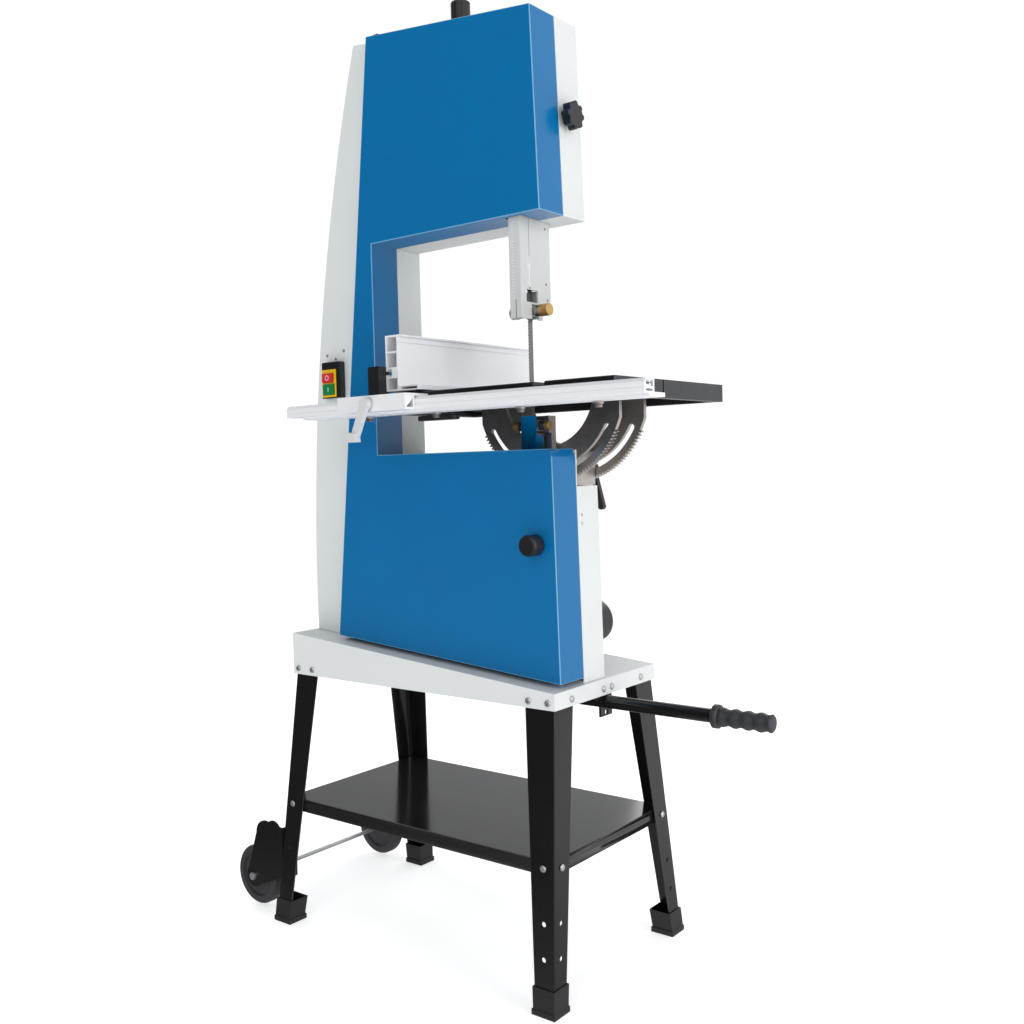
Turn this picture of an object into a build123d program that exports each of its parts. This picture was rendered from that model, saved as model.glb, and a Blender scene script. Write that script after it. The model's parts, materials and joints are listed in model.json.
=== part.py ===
from build123d import *
import math
import os

# Two-wheel woodworking band saw on a folded-steel stand.
# Millimetres, +Z up, -Y towards the operator. Pieces are drawn about the middle of the stand
# and moved on export, so that the origin is the middle of the footprint, on the floor.

# ---------------------------------------------------------------- driving dimensions
throat = 306
wheel_radius = 157.2
blade_x = 215
blade_front, blade_back = -76.5, -63.5
blade_mid = (blade_front + blade_back) / 2
wheel_x = blade_x - wheel_radius - 0.3
lower_wheel_z, upper_wheel_z = 695, 1410
wheel_front, wheel_back = -84, -60.5
throat_x = blade_x - throat + 2

door_front, door_split = -125, -60
sheet = 2.5
lower_top_z, head_bottom_z = 870, 1241
deck_z = 809
recess_x = 95

table_top_z = 968
table_left, table_right = -70, 462
table_front, table_rear = -206, 121
table_rim = 28
table_plate = 10
tilt_x, tilt_z = 218, table_top_z

plinth_half_x, plinth_half_y = 304.5, 150
plinth_bottom_z = 463
plinth_left_z, plinth_right_z = 540, 490

leg_top_z, leg_foot_z = 480, 8
leg_top_x, leg_top_y = 300, 144.5
leg_foot_x, leg_foot_y = 322.5, 196
leg_steel = 2.5

castor_x, castor_z, castor_radius = -404, 62, 57
grip_end_x = 598
lever_front = -278
foot_corner_y = 200

# The footprint runs from the transport wheels to the grip, and from the clamp lever to the feet.
base_x = (castor_x - castor_radius + grip_end_x) / 2
base_y = (lever_front + foot_corner_y) / 2


# ---------------------------------------------------------------- shared construction
def plinth_top(x):
    """Height of the plinth's sloping top at x."""
    drop = plinth_left_z - plinth_right_z
    return plinth_left_z - drop * (x + plinth_half_x) / (2 * plinth_half_x)


def door_edge(z):
    """x of the door's slanting hinge edge at height z."""
    return -203 + 0.1095 * (z - 540)


def head_top(x):
    """Height of the head's sloping top at x."""
    return 1599 - 0.1176 * (x + 87)


def right_edge(z):
    """x of the lower housing's right side, which leans in slightly."""
    return 299 - 0.0194 * (z - 499)


def leg_corner(z):
    """Outer corner of a splayed leg at height z."""
    share = (leg_top_z - z) / (leg_top_z - leg_foot_z)
    return leg_top_x + (leg_foot_x - leg_top_x) * share, leg_top_y + (leg_foot_y - leg_top_y) * share


def slab(outline, front, back, mode=Mode.ADD):
    """A plate cut to an outline in the front view, between two depths."""
    with BuildSketch(Plane.XZ.offset(-back)) as face:
        Polygon(*outline)
    extrude(face.sketch, amount=back - front, dir=(0, -1, 0), mode=mode)


def block(low, high, mode=Mode.ADD):
    """A box between two opposite corners."""
    with Locations(tuple((a + b) / 2 for a, b in zip(low, high))):
        Box(*(abs(b - a) for a, b in zip(low, high)), mode=mode)


def rod(axis, centre, radius, length, mode=Mode.ADD):
    """A cylinder about a line along one axis."""
    turn = {"x": (0, 90, 0), "y": (90, 0, 0), "z": (0, 0, 0)}[axis]
    with Locations(centre):
        Cylinder(radius, length, rotation=turn, mode=mode)


def rod_between(axis, centre, radius, start, end, mode=Mode.ADD):
    """A cylinder along an axis from start to end; centre gives the other two coordinates."""
    place = list(centre)
    place["xyz".index(axis)] = (start + end) / 2
    rod(axis, tuple(place), radius, abs(end - start), mode)


def save(piece, name):
    """Labels a finished piece, moves it to the model's origin and writes it."""
    moved = piece.part.moved(Location((-base_x, -base_y, 0)))
    moved.label = name
    export_step(moved, f"parts/{name}.step")


os.makedirs("parts", exist_ok=True)

# ---------------------------------------------------------------- stand: plinth
# A folded sheet wedge, open below, with holes for the leg and handle bolts.
bolt_hole = 4.2
bolt_head = 5.6
plinth_bolt_z = 474
front_bolt_x = (253, 291)
side_bolt_y = 104
handle_bolt_y = 12

with BuildPart() as plinth:
    slab(
        [
            (-plinth_half_x, plinth_bottom_z),
            (plinth_half_x, plinth_bottom_z),
            (plinth_half_x, plinth_right_z),
            (-plinth_half_x, plinth_left_z),
        ],
        -plinth_half_y,
        plinth_half_y,
    )
    inner_x, inner_y = plinth_half_x - 3, plinth_half_y - 3
    slab(
        [
            (-inner_x, plinth_bottom_z - 1),
            (inner_x, plinth_bottom_z - 1),
            (inner_x, plinth_top(inner_x) - 3),
            (-inner_x, plinth_top(-inner_x) - 3),
        ],
        -inner_y,
        inner_y,
        mode=Mode.SUBTRACT,
    )
    for x in front_bolt_x:
        for side in (-1, 1):
            rod("y", (side * x, 0, plinth_bolt_z), bolt_hole, 400, Mode.SUBTRACT)
    for y in (-side_bolt_y, -handle_bolt_y, handle_bolt_y, side_bolt_y):
        rod("x", (0, y, plinth_bolt_z), bolt_hole, 700, Mode.SUBTRACT)
save(plinth, "plinth")

# ---------------------------------------------------------------- stand: legs
# Four folded L-section legs, splayed outwards and tapering towards the foot.
shelf_bolt_z = 221
spare_hole_z = (137, 84)
leg_front_width = (58, 36)
leg_side_width = (52, 33)


def leg_section(z, front, side, sign_x, sign_y):
    """The L section of a leg at height z, with its corner outwards."""
    x, y = leg_corner(z)
    with BuildSketch(Plane.XY.offset(z)) as section:
        Polygon(
            (sign_x * x, sign_y * y),
            (sign_x * (x - front), sign_y * y),
            (sign_x * (x - front), sign_y * (y - leg_steel)),
            (sign_x * (x - leg_steel), sign_y * (y - leg_steel)),
            (sign_x * (x - leg_steel), sign_y * (y - side)),
            (sign_x * x, sign_y * (y - side)),
        )
    return section.sketch


for sign_x, across in ((-1, "left"), (1, "right")):
    for sign_y, along in ((-1, "front"), (1, "rear")):
        foot = leg_section(leg_foot_z, leg_front_width[1], leg_side_width[1], sign_x, sign_y)
        top = leg_section(leg_top_z, leg_front_width[0], leg_side_width[0], sign_x, sign_y)
        with BuildPart() as leg:
            loft(sections=[foot.face(), top.face()])
            bend = leg.edges().sort_by_distance((sign_x * 400, sign_y * 400, 244))[0]
            fillet(bend, 3)
            for x in front_bolt_x:
                rod("y", (sign_x * x, sign_y * 160, plinth_bolt_z), bolt_hole, 60, Mode.SUBTRACT)
            rod("x", (sign_x * 300, sign_y * side_bolt_y, plinth_bolt_z), bolt_hole, 40, Mode.SUBTRACT)
            for z in (shelf_bolt_z, *spare_hole_z):
                corner_x, corner_y = leg_corner(z)
                rod("y", (sign_x * (corner_x - 20), sign_y * corner_y, z), bolt_hole, 20, Mode.SUBTRACT)
                rod("x", (sign_x * corner_x, sign_y * (corner_y - 20), z), bolt_hole, 20, Mode.SUBTRACT)
        save(leg, f"leg_{along}_{across}")

# ---------------------------------------------------------------- stand: shelf
# A shallow tray with its lip folded down inside the legs.
shelf_x, shelf_y = 306, 168.5
shelf_top_z, shelf_lip = 232, 24
with BuildPart() as shelf:
    block((-shelf_x, -shelf_y, shelf_top_z - shelf_lip), (shelf_x, shelf_y, shelf_top_z))
    block(
        (2 - shelf_x, 2 - shelf_y, shelf_top_z - shelf_lip - 1),
        (shelf_x - 2, shelf_y - 2, shelf_top_z - 2),
        Mode.SUBTRACT,
    )
    shelf_bolt_x, shelf_bolt_y = (value - 20 for value in leg_corner(shelf_bolt_z))
    for sign in (-1, 1):
        rod("y", (sign * shelf_bolt_x, 0, shelf_bolt_z), bolt_hole, 400, Mode.SUBTRACT)
        rod("x", (0, sign * shelf_bolt_y, shelf_bolt_z), bolt_hole, 700, Mode.SUBTRACT)
save(shelf, "shelf")

# ---------------------------------------------------------------- stand: rubber feet
# Four moulded boots that follow the lean of the legs, on a wider sole.
boot_top_z = 42


def boot_section(z, corner_x, corner_y, width_x, width_y, sign_x, sign_y):
    """A rectangle at height z with its outer corner given."""
    with BuildSketch(Plane.XY.offset(z)) as section:
        Polygon(
            (sign_x * corner_x, sign_y * corner_y),
            (sign_x * (corner_x - width_x), sign_y * corner_y),
            (sign_x * (corner_x - width_x), sign_y * (corner_y - width_y)),
            (sign_x * corner_x, sign_y * (corner_y - width_y)),
        )
    return section.sketch


with BuildPart() as rubber_feet:
    for sign_x in (-1, 1):
        for sign_y in (-1, 1):
            low_x, low_y = leg_corner(leg_foot_z)
            high_x, high_y = leg_corner(boot_top_z)
            outer = [
                boot_section(4, low_x + 3, low_y + 3, 41, 38, sign_x, sign_y).face(),
                boot_section(boot_top_z, high_x + 2.5, high_y + 2.5, 42.5, 39.5, sign_x, sign_y).face(),
            ]
            pocket = [
                boot_section(leg_foot_z, low_x + 0.1, low_y + 0.1, 37, 34, sign_x, sign_y).face(),
                boot_section(boot_top_z, high_x + 0.1, high_y + 0.1, 38.6, 35.4, sign_x, sign_y).face(),
            ]
            block(
                (sign_x * (low_x - 40.5), sign_y * (low_y - 37.5), 0),
                (sign_x * (low_x + 4), sign_y * foot_corner_y, 9),
            )
            loft(sections=outer)
            loft(sections=pocket, mode=Mode.SUBTRACT)
save(rubber_feet, "rubber_feet")

# ---------------------------------------------------------------- stand: bolts
# Domed M8 bolts through the plinth, legs and shelf.
with BuildPart() as stand_bolts:
    for sign in (-1, 1):
        for other in (-1, 1):
            for x in front_bolt_x:
                rod_between("y", (other * x, 0, plinth_bolt_z), bolt_head, sign * 150, sign * 153.5)
                rod_between("y", (other * x, 0, plinth_bolt_z), 3.9, sign * 141, sign * 151)
            rod_between("x", (0, other * side_bolt_y, plinth_bolt_z), bolt_head, sign * 304.5, sign * 308)
            rod_between("x", (0, other * side_bolt_y, plinth_bolt_z), 3.9, sign * 295, sign * 305)
            corner_x, corner_y = leg_corner(shelf_bolt_z)
            face_x, face_y = corner_x + 0.4, corner_y + 0.8
            across = (other * (corner_x - 20), 0, shelf_bolt_z)
            along = (0, other * (corner_y - 20), shelf_bolt_z)
            rod_between("y", across, bolt_head, sign * face_y, sign * (face_y + 3.5))
            rod_between("y", across, 3.9, sign * 162, sign * (face_y + 1))
            rod_between("x", along, bolt_head, sign * face_x, sign * (face_x + 3.5))
            rod_between("x", along, 3.9, sign * 300, sign * (face_x + 1))
    for y in (-handle_bolt_y, handle_bolt_y):
        rod_between("x", (0, y, plinth_bolt_z), bolt_head, 304.5, 308)
        rod_between("x", (0, y, plinth_bolt_z), 3.9, 297.6, 305)
save(stand_bolts, "stand_bolts")

# ---------------------------------------------------------------- transport wheels
# Folded brackets on the left legs carry a steel axle and two solid wheels.
axle_radius = 4
with BuildPart() as wheel_brackets:
    for sign in (-1, 1):
        front, back = sorted((sign * 180, sign * 183))
        tab_front, tab_back = sorted((sign * 146, sign * 183))
        leg_low, leg_high = (-leg_corner(z)[0] - 0.1 for z in (70, 172))
        plate = [(-424, 62), (-404, 41), (leg_low, 76), (leg_high, 172), (-345, 172), (-394, 148)]
        slab(plate, front, back)
        rod_between("y", (castor_x, 0, castor_z), 21.5, front, back)
        rod_between("y", (-366, 0, 150), 27, front, back)
        rod_between("y", (-343, 0, 160), 21, front, back)
        tab = [(leg_low, 70), (leg_high, 172), (leg_high - 2.5, 172), (leg_low - 2.5, 70)]
        slab(tab, tab_front, tab_back)
        rod_between("y", (castor_x, 0, castor_z), axle_radius + 0.1, front - 1, back + 1, Mode.SUBTRACT)
save(wheel_brackets, "wheel_brackets")

with BuildPart() as transport_axle:
    rod("y", (castor_x, 0, castor_z), axle_radius, 372)
    for sign in (-1, 1):
        rod_between("y", (castor_x, 0, castor_z), 7, sign * 183.2, sign * 189)
save(transport_axle, "transport_axle")

for sign, along in ((-1, "front"), (1, "rear")):
    front, back = sorted((sign * 152, sign * 176))
    with BuildPart() as castor:
        rod_between("y", (castor_x, 0, castor_z), castor_radius, front, back)
        chamfer(castor.edges().filter_by(GeomType.CIRCLE), 4)
        for face in (front, back):
            rod_between("y", (castor_x, 0, castor_z), 41, face - 4, face + 4, Mode.SUBTRACT)
        rod_between("y", (castor_x, 0, castor_z), 11, front, back)
        rod_between("y", (castor_x, 0, castor_z), axle_radius + 0.05, front - 1, back + 1, Mode.SUBTRACT)
    save(castor, f"transport_wheel_{along}")

# ---------------------------------------------------------------- pull-out handle
# A round tube slides through two plates below the plinth, with a rubber grip at its end.
handle_z = 450.5
handle_radius = 11
handle_inner_x, grip_start_x = 90, 500
second_plate_x = 120
with BuildPart() as handle_bracket:
    block((297.5, -17, 427), (301.3, 17, 484))
    block((second_plate_x - 2, -17, 432), (second_plate_x + 2, 17, plinth_top(second_plate_x + 2) - 3.2))
    rod_between("x", (0, 0, handle_z), handle_radius + 0.1, 100, 310, Mode.SUBTRACT)
    for y in (-handle_bolt_y, handle_bolt_y):
        rod_between("x", (0, y, plinth_bolt_z), bolt_hole, 290, 310, Mode.SUBTRACT)
    block((290, -4, 429.5), (310, 4, 436.5), Mode.SUBTRACT)
save(handle_bracket, "handle_bracket")

with BuildPart() as handle_bar:
    rod_between("x", (0, 0, handle_z), handle_radius, handle_inner_x, grip_end_x - 6)
    rod_between("x", (0, 0, handle_z), handle_radius - 2, handle_inner_x - 1, grip_end_x - 20, Mode.SUBTRACT)
save(handle_bar, "handle_bar")

with BuildPart() as handle_grip:
    with BuildSketch(Plane.XZ):
        with BuildLine():
            Polyline(
                (grip_start_x + 9, handle_z + 15),
                (grip_start_x + 9, handle_z + 18.5),
                (grip_start_x, handle_z + 18.5),
                (grip_start_x, handle_z),
                (grip_end_x, handle_z),
                (grip_end_x, handle_z + 13),
                (grip_end_x - 4, handle_z + 16),
            )
            Spline(
                (grip_end_x - 4, handle_z + 16),
                (grip_end_x - 16, handle_z + 14),
                (grip_end_x - 29, handle_z + 16.5),
                (grip_end_x - 43, handle_z + 14),
                (grip_end_x - 56, handle_z + 16.5),
                (grip_end_x - 72, handle_z + 14.5),
                (grip_start_x + 9, handle_z + 15),
            )
        make_face()
    revolve(axis=Axis((0, 0, handle_z), (1, 0, 0)))
    rod_between("x", (0, 0, handle_z), handle_radius, grip_start_x - 1, grip_end_x - 6, Mode.SUBTRACT)
save(handle_grip, "handle_grip")

# ---------------------------------------------------------------- frame: column
# The spine: a tall sheet box with a bowed outer edge, open at the bottom onto the plinth.
column_front = -88
column_left = ((-301, 541), (-266, 1111), (-157, 1612))
with BuildPart() as column:
    for inset, front, back, mode in (
        (0, column_front, 0, Mode.ADD),
        (sheet, column_front + sheet, -sheet, Mode.SUBTRACT),
    ):
        low_left = (column_left[0][0] + inset, plinth_top(-301) + 0.3 - 8 * (inset > 0))
        low_right = (door_edge(532) - inset, plinth_top(-204) + 0.3 - 8 * (inset > 0))
        top_right = (door_edge(1603) - inset, 1603 - inset)
        top_left = (column_left[2][0] + inset, column_left[2][1] - inset)
        with BuildSketch(Plane.XZ.offset(-back)) as profile:
            with BuildLine():
                Polyline(low_left, low_right, top_right, top_left)
                ThreePointArc(top_left, (column_left[1][0] + inset, column_left[1][1]), low_left)
            make_face()
        extrude(profile.sketch, amount=back - front, dir=(0, -1, 0), mode=mode)
save(column, "column")

# ---------------------------------------------------------------- frame: lower housing
# Welded tray behind the lower wheel. Its right part stops at a deck, which carries the table.
belt_plane = (-56, -36)
motor_x, motor_z = -75, 600
dust_x, dust_z = 250, 577
shaft_radius = 12.5


def housing_outline(inset):
    """Outline of the lower housing in the front view, inset from its edges except on the left."""
    bottom = 0.3 + inset
    return [
        (door_edge(532) + 0.2 - 4 * inset, plinth_top(-203) + bottom),
        (right_edge(491) - inset, plinth_top(299) + bottom),
        (right_edge(deck_z) - inset, deck_z - inset),
        (recess_x - inset, deck_z - inset),
        (recess_x - inset, lower_top_z - inset),
        (door_edge(lower_top_z) + 0.2 - 4 * inset, lower_top_z - inset),
    ]


with BuildPart() as lower_housing:
    slab(housing_outline(0), door_split, 0)
    slab(housing_outline(sheet), door_split - 1, -3, Mode.SUBTRACT)
    edge_gap = [(-230, 520), (door_edge(520) + 0.2, 520), (door_edge(880) + 0.2, 880), (-230, 880)]
    slab(edge_gap, door_split - 2, 2, Mode.SUBTRACT)
    block((recess_x - sheet, -59.5, deck_z - sheet), (292, -57, lower_top_z - 2))
    rod_between("y", (wheel_x, 0, lower_wheel_z), 28, -32, 6)
    rod_between("y", (wheel_x, 0, lower_wheel_z), shaft_radius + 0.06, -70, 20, Mode.SUBTRACT)
    rod_between("y", (motor_x, 0, motor_z), 14, -10, 10, Mode.SUBTRACT)
    rod_between("y", (dust_x, 0, dust_z), 33, -10, 10, Mode.SUBTRACT)
    block((268, -57, 705), (right_edge(718) - 1, -54, 732))
save(lower_housing, "lower_housing")

# ---------------------------------------------------------------- frame: blade channel
# Closes the column beside the throat, where the blade returns.
with BuildPart() as blade_channel:
    low, high = lower_top_z + 0.2, head_bottom_z - 0.2
    for front, back, inner in ((door_split, -3, sheet), (-3, 0, None)):
        left_low = throat_x - inner if inner else door_edge(low) + 0.2
        left_high = throat_x - inner if inner else door_edge(high) + 0.2
        slab([(left_low, low), (throat_x, low), (throat_x, high), (left_high, high)], front, back)
save(blade_channel, "blade_channel")

# ---------------------------------------------------------------- frame: upper housing
# Welded tray behind the upper wheel, with guides for the tension block and a spring seat.
tension_y = -37
spring_seat_z = 1331
knob_y, knob_z = -43.5, 1400


def head_right(z):
    """x of the head's right side at height z."""
    return 280 - 0.0313 * (z - head_bottom_z)


def head_outline(inset):
    """Outline of the head in the front view, inset from its edges."""
    return [
        (door_edge(head_bottom_z) + 0.2 + inset, head_bottom_z + inset),
        (head_right(head_bottom_z) - inset, head_bottom_z + inset),
        (head_right(1557) - inset, head_top(270) - inset),
        (door_edge(1599) + 0.2 + inset, head_top(-87) - inset),
    ]


with BuildPart() as upper_housing:
    slab(head_outline(0), door_split, 0)
    slab(head_outline(sheet), door_split - 1, -3, Mode.SUBTRACT)
    channel_mouth = [(door_edge(1236) + 2.7, 1236), (throat_x - sheet, 1236)]
    channel_mouth += [(throat_x - sheet, 1246), (door_edge(1246) + 2.7, 1246)]
    slab(channel_mouth, door_split - 1, -3, Mode.SUBTRACT)
    block((202, door_split - 1, 1235), (230, -24, 1250), Mode.SUBTRACT)
    rod_between("x", (0, knob_y, knob_z), 5.1, 260, 290, Mode.SUBTRACT)
    rod_between("z", (wheel_x, tension_y, 0), 5.2, 1560, 1600, Mode.SUBTRACT)
    for side in (-1, 1):
        inner, outer = sorted((side * 22.4, side * 30))
        block((wheel_x + inner, -48, 1335), (wheel_x + outer, -3, 1500))
    block((wheel_x - 26, -50, spring_seat_z - 4), (wheel_x + 26, -3, spring_seat_z))
save(upper_housing, "upper_housing")

# ---------------------------------------------------------------- door
# One C-shaped folded door over both wheels, with a blade guard below the table.
hinge_dx, hinge_y = 6.3, -100
hinge_pin_radius = 4
door_sheet = 2
door_knob_x, door_knob_z = 258, 718.6


def door_outline(inset):
    """Outline of the door in the front view, inset from its edges."""
    return [
        (door_edge(540) + inset, 540 + inset),
        (right_edge(499) - inset, 499 + inset),
        (right_edge(856) - inset, 857 - inset),
        (286 - inset, lower_top_z - inset),
        (throat_x - inset, lower_top_z - inset),
        (throat_x - inset, head_bottom_z + inset),
        (head_right(head_bottom_z) - inset, head_bottom_z + inset),
        (head_right(1557) - inset, head_top(270) - inset),
        (door_edge(1599) + inset, head_top(-87) - inset),
    ]


with BuildPart() as door:
    slab(door_outline(0), door_front, door_split - 0.5)
    slab(door_outline(door_sheet), door_front + door_sheet, door_split + 1, Mode.SUBTRACT)
    hinge_side = [(door_edge(500) - 9, 500), (door_edge(500) + 5, 500)]
    hinge_side += [(door_edge(1590) + 5, 1590), (door_edge(1590) - 9, 1590)]
    slab(hinge_side, -90.5, -50, Mode.SUBTRACT)
    block((199.5, -112, head_bottom_z - 5), (232.5, -50, head_bottom_z + 6), Mode.SUBTRACT)
    block((205, -83, lower_top_z - 8), (228, -50, lower_top_z + 2), Mode.SUBTRACT)
    rod_between("y", (door_knob_x, 0, door_knob_z), 6.1, -130, -120, Mode.SUBTRACT)
    block((203, -85, lower_top_z - 2), (230, -83, 925))
    for x in (203, 228):
        block((x, -85, lower_top_z - 2), (x + 2, -61, 893))
        block((x, -85, 892), (x + 2, -79, 925))
    for z in (537, 1600):
        lean = math.degrees(math.atan(0.1095))
        with Locations(Location((door_edge(z) + hinge_dx, hinge_y, z), (0, lean, 0))):
            Cylinder(hinge_pin_radius + 0.05, 30, mode=Mode.SUBTRACT)
save(door, "door")

# ---------------------------------------------------------------- hinge pins
# Steel straps on the housings hold a pin at each end of the door's hinge edge.
with BuildPart() as hinge_pins:
    for strap_low, strap_high, pin_z in ((534.6, 537.4, 548), (1603.45, 1606.4, 1592)):
        centre_x = door_edge(pin_z) + hinge_dx
        block((centre_x - 7, hinge_y - 8, strap_low), (centre_x + 7, -50, strap_high))
        with Locations(Location((centre_x, hinge_y, pin_z), (0, math.degrees(math.atan(0.1095)), 0))):
            Cylinder(hinge_pin_radius, 28)
save(hinge_pins, "hinge_pins")

# ---------------------------------------------------------------- door knob
# Turning the knob swings a cam behind a tab on the housing.
with BuildPart() as door_knob:
    rod_between("y", (door_knob_x, 0, door_knob_z), 17, -152, -127)
    fillet(door_knob.edges().filter_by(GeomType.CIRCLE).group_by(Axis.Y)[0], 5)
    rod_between("y", (door_knob_x, 0, door_knob_z), 10, -128, -125.3)
    rod_between("y", (door_knob_x, 0, door_knob_z), 6, -128, -46)
    block((door_knob_x - 6, -51, door_knob_z - 26), (door_knob_x + 6, -46, door_knob_z))
save(door_knob, "door_knob")

# ---------------------------------------------------------------- band wheels
# Spoked aluminium castings with rubber tyres. The lower one carries the belt pulley.
tyre = 3.4
spoke_holes = 5
pulley_radius, motor_pulley_radius = 55, 30


def band_wheel(z, hub_back):
    """Rim, web with five openings and hub, about the wheel's axis."""
    rim = wheel_radius - tyre
    rod_between("y", (wheel_x, 0, z), rim, wheel_front, wheel_back)
    rod_between("y", (wheel_x, 0, z), rim - 10, wheel_front - 1, wheel_back + 1, Mode.SUBTRACT)
    rod_between("y", (wheel_x, 0, z), rim - 9, -75, -69)
    for index in range(spoke_holes):
        angle = math.radians(90 + 360 * index / spoke_holes)
        centre = (wheel_x + 92 * math.cos(angle), 0, z + 92 * math.sin(angle))
        rod_between("y", centre, 36, -80, -60, Mode.SUBTRACT)
    rod_between("y", (wheel_x, 0, z), 26, wheel_front, hub_back)


with BuildPart() as upper_wheel:
    band_wheel(upper_wheel_z, -57)
    rod_between("y", (wheel_x, 0, upper_wheel_z), 10.05, -90, -50, Mode.SUBTRACT)
save(upper_wheel, "upper_wheel")

with BuildPart() as lower_wheel:
    band_wheel(lower_wheel_z, belt_plane[1])
    rod_between("y", (wheel_x, 0, lower_wheel_z), pulley_radius, *belt_plane)
    for rib in range(5):
        groove_y = belt_plane[0] + 3 + 3.4 * rib
        with BuildSketch(Plane.XZ.offset(-groove_y - 1)) as groove:
            with Locations((wheel_x, lower_wheel_z)):
                Circle(pulley_radius + 1)
                Circle(pulley_radius - 2, mode=Mode.SUBTRACT)
        extrude(groove.sketch, amount=1.6, dir=(0, -1, 0), mode=Mode.SUBTRACT)
    rod_between("y", (wheel_x, 0, lower_wheel_z), shaft_radius, -90, -30, Mode.SUBTRACT)
save(lower_wheel, "lower_wheel")

for name, z in (("upper_tyre", upper_wheel_z), ("lower_tyre", lower_wheel_z)):
    with BuildPart() as band_tyre:
        rod_between("y", (wheel_x, 0, z), wheel_radius, wheel_front, wheel_back)
        rod_between("y", (wheel_x, 0, z), wheel_radius - tyre, wheel_front - 1, wheel_back + 1, Mode.SUBTRACT)
    save(band_tyre, name)

with BuildPart() as lower_shaft:
    rod_between("y", (wheel_x, 0, lower_wheel_z), shaft_radius, -88, 9)
    rod_between("y", (wheel_x, 0, lower_wheel_z), 17, -92, -84.2)
    rod_between("y", (wheel_x, 0, lower_wheel_z), 16, 6.5, 10)
save(lower_shaft, "lower_shaft")

# ---------------------------------------------------------------- blade tension
# The upper axle is part of a block that slides up and down, drawn by a screw against a spring.
spring_height = 44
block_bottom = spring_seat_z + spring_height
with BuildPart() as tension_block:
    block((wheel_x - 22, -52, block_bottom), (wheel_x + 22, -12, 1445))
    rod_between("y", (wheel_x, 0, upper_wheel_z), 10, -92, -51)
    rod_between("y", (wheel_x, 0, upper_wheel_z), 15, -96, -90.5)
    rod_between("z", (wheel_x, tension_y, 0), 5.1, block_bottom - 1, 1450, Mode.SUBTRACT)
save(tension_block, "tension_block")

with BuildPart() as tension_screw:
    rod_between("z", (wheel_x, tension_y, 0), 5, 1384, 1625)
save(tension_screw, "tension_screw")

with BuildPart() as tension_knob:
    rod_between("z", (wheel_x, tension_y, 0), 17, 1592, 1644)
    fillet(tension_knob.edges().filter_by(GeomType.CIRCLE).group_by(Axis.Z)[-1], 2)
    with Locations((wheel_x, tension_y, 1618)):
        with PolarLocations(18, 16):
            Cylinder(1.8, 60, mode=Mode.SUBTRACT)
    rod_between("z", (wheel_x, tension_y, 0), 9, 1583.4, 1593)
    rod_between("z", (wheel_x, tension_y, 0), 5, 1580, 1625, Mode.SUBTRACT)
save(tension_knob, "tension_knob")

with BuildPart() as tension_spring:
    with BuildLine() as coil:
        Helix(7, spring_height - 3.6, 12, center=(wheel_x, tension_y, spring_seat_z + 1.8))
    with BuildSketch(Plane(origin=coil.line @ 0, z_dir=coil.line % 0)):
        Circle(1.5)
    sweep(is_frenet=True)
save(tension_spring, "tension_spring")

# ---------------------------------------------------------------- blade and belt
# The endless blade runs over both wheels; the ribbed belt drives the lower one.
with BuildPart() as saw_blade:
    for gap, mode in ((0.9, Mode.ADD), (0.3, Mode.SUBTRACT)):
        with BuildSketch(Plane.XZ.offset(-blade_back)) as loop:
            with Locations((wheel_x, lower_wheel_z), (wheel_x, upper_wheel_z)):
                Circle(wheel_radius + gap)
            with Locations((wheel_x, (lower_wheel_z + upper_wheel_z) / 2)):
                Rectangle(2 * (wheel_radius + gap), upper_wheel_z - lower_wheel_z)
        extrude(loop.sketch, amount=blade_back - blade_front, dir=(0, -1, 0), mode=mode)
save(saw_blade, "saw_blade")

with BuildPart() as drive_belt:
    span = math.hypot(wheel_x - motor_x, lower_wheel_z - motor_z)
    lean = math.atan2(lower_wheel_z - motor_z, wheel_x - motor_x)
    wrap = math.acos((pulley_radius - motor_pulley_radius) / span)
    for gap, mode in ((3.8, Mode.ADD), (0.3, Mode.SUBTRACT)):
        with BuildSketch(Plane.XZ.offset(-belt_plane[1] + 0.5)) as loop:
            with Locations((wheel_x, lower_wheel_z)):
                Circle(pulley_radius + gap)
            with Locations((motor_x, motor_z)):
                Circle(motor_pulley_radius + gap)
            touch = []
            for side in (1, -1):
                angle = lean + math.pi - side * wrap
                for x, z, radius in (
                    (wheel_x, lower_wheel_z, pulley_radius),
                    (motor_x, motor_z, motor_pulley_radius),
                ):
                    reach = radius + gap
                    touch.append((x + reach * math.cos(angle), z + reach * math.sin(angle)))
            Polygon(touch[0], touch[1], touch[3], touch[2])
        extrude(loop.sketch, amount=17, dir=(0, -1, 0), mode=mode)
save(drive_belt, "drive_belt")

# ---------------------------------------------------------------- motor and dust port
# A flanged motor on the back of the housing, and a round hose port under the blade.
with BuildPart() as motor:
    block((motor_x - 68, 0.3, motor_z - 60), (motor_x + 68, 8, motor_z + 68))
    rod_between("y", (motor_x, 0, motor_z), 58, 6, 186)
    for index in range(16):
        angle = 2 * math.pi * index / 16
        fin_x, fin_z = motor_x + 60 * math.cos(angle), motor_z + 60 * math.sin(angle)
        with Locations(Location((fin_x, 85, fin_z), (0, -math.degrees(angle), 0))):
            Box(8, 120, 2.5)
    rod_between("y", (motor_x, 0, motor_z), 63, 148, 188)
    block((motor_x - 32, 50, motor_z + 50), (motor_x + 32, 118, motor_z + 84))
    rod_between("x", (0, 84, motor_z + 68), 9, motor_x - 48, motor_x - 30)
    rod_between("y", (motor_x, 0, motor_z), 9.56, -2, 32, Mode.SUBTRACT)
save(motor, "motor")

with BuildPart() as motor_pulley:
    rod_between("y", (motor_x, 0, motor_z), motor_pulley_radius, *belt_plane)
    rod_between("y", (motor_x, 0, motor_z), 9.5, belt_plane[0], 28)
save(motor_pulley, "motor_pulley")

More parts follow.
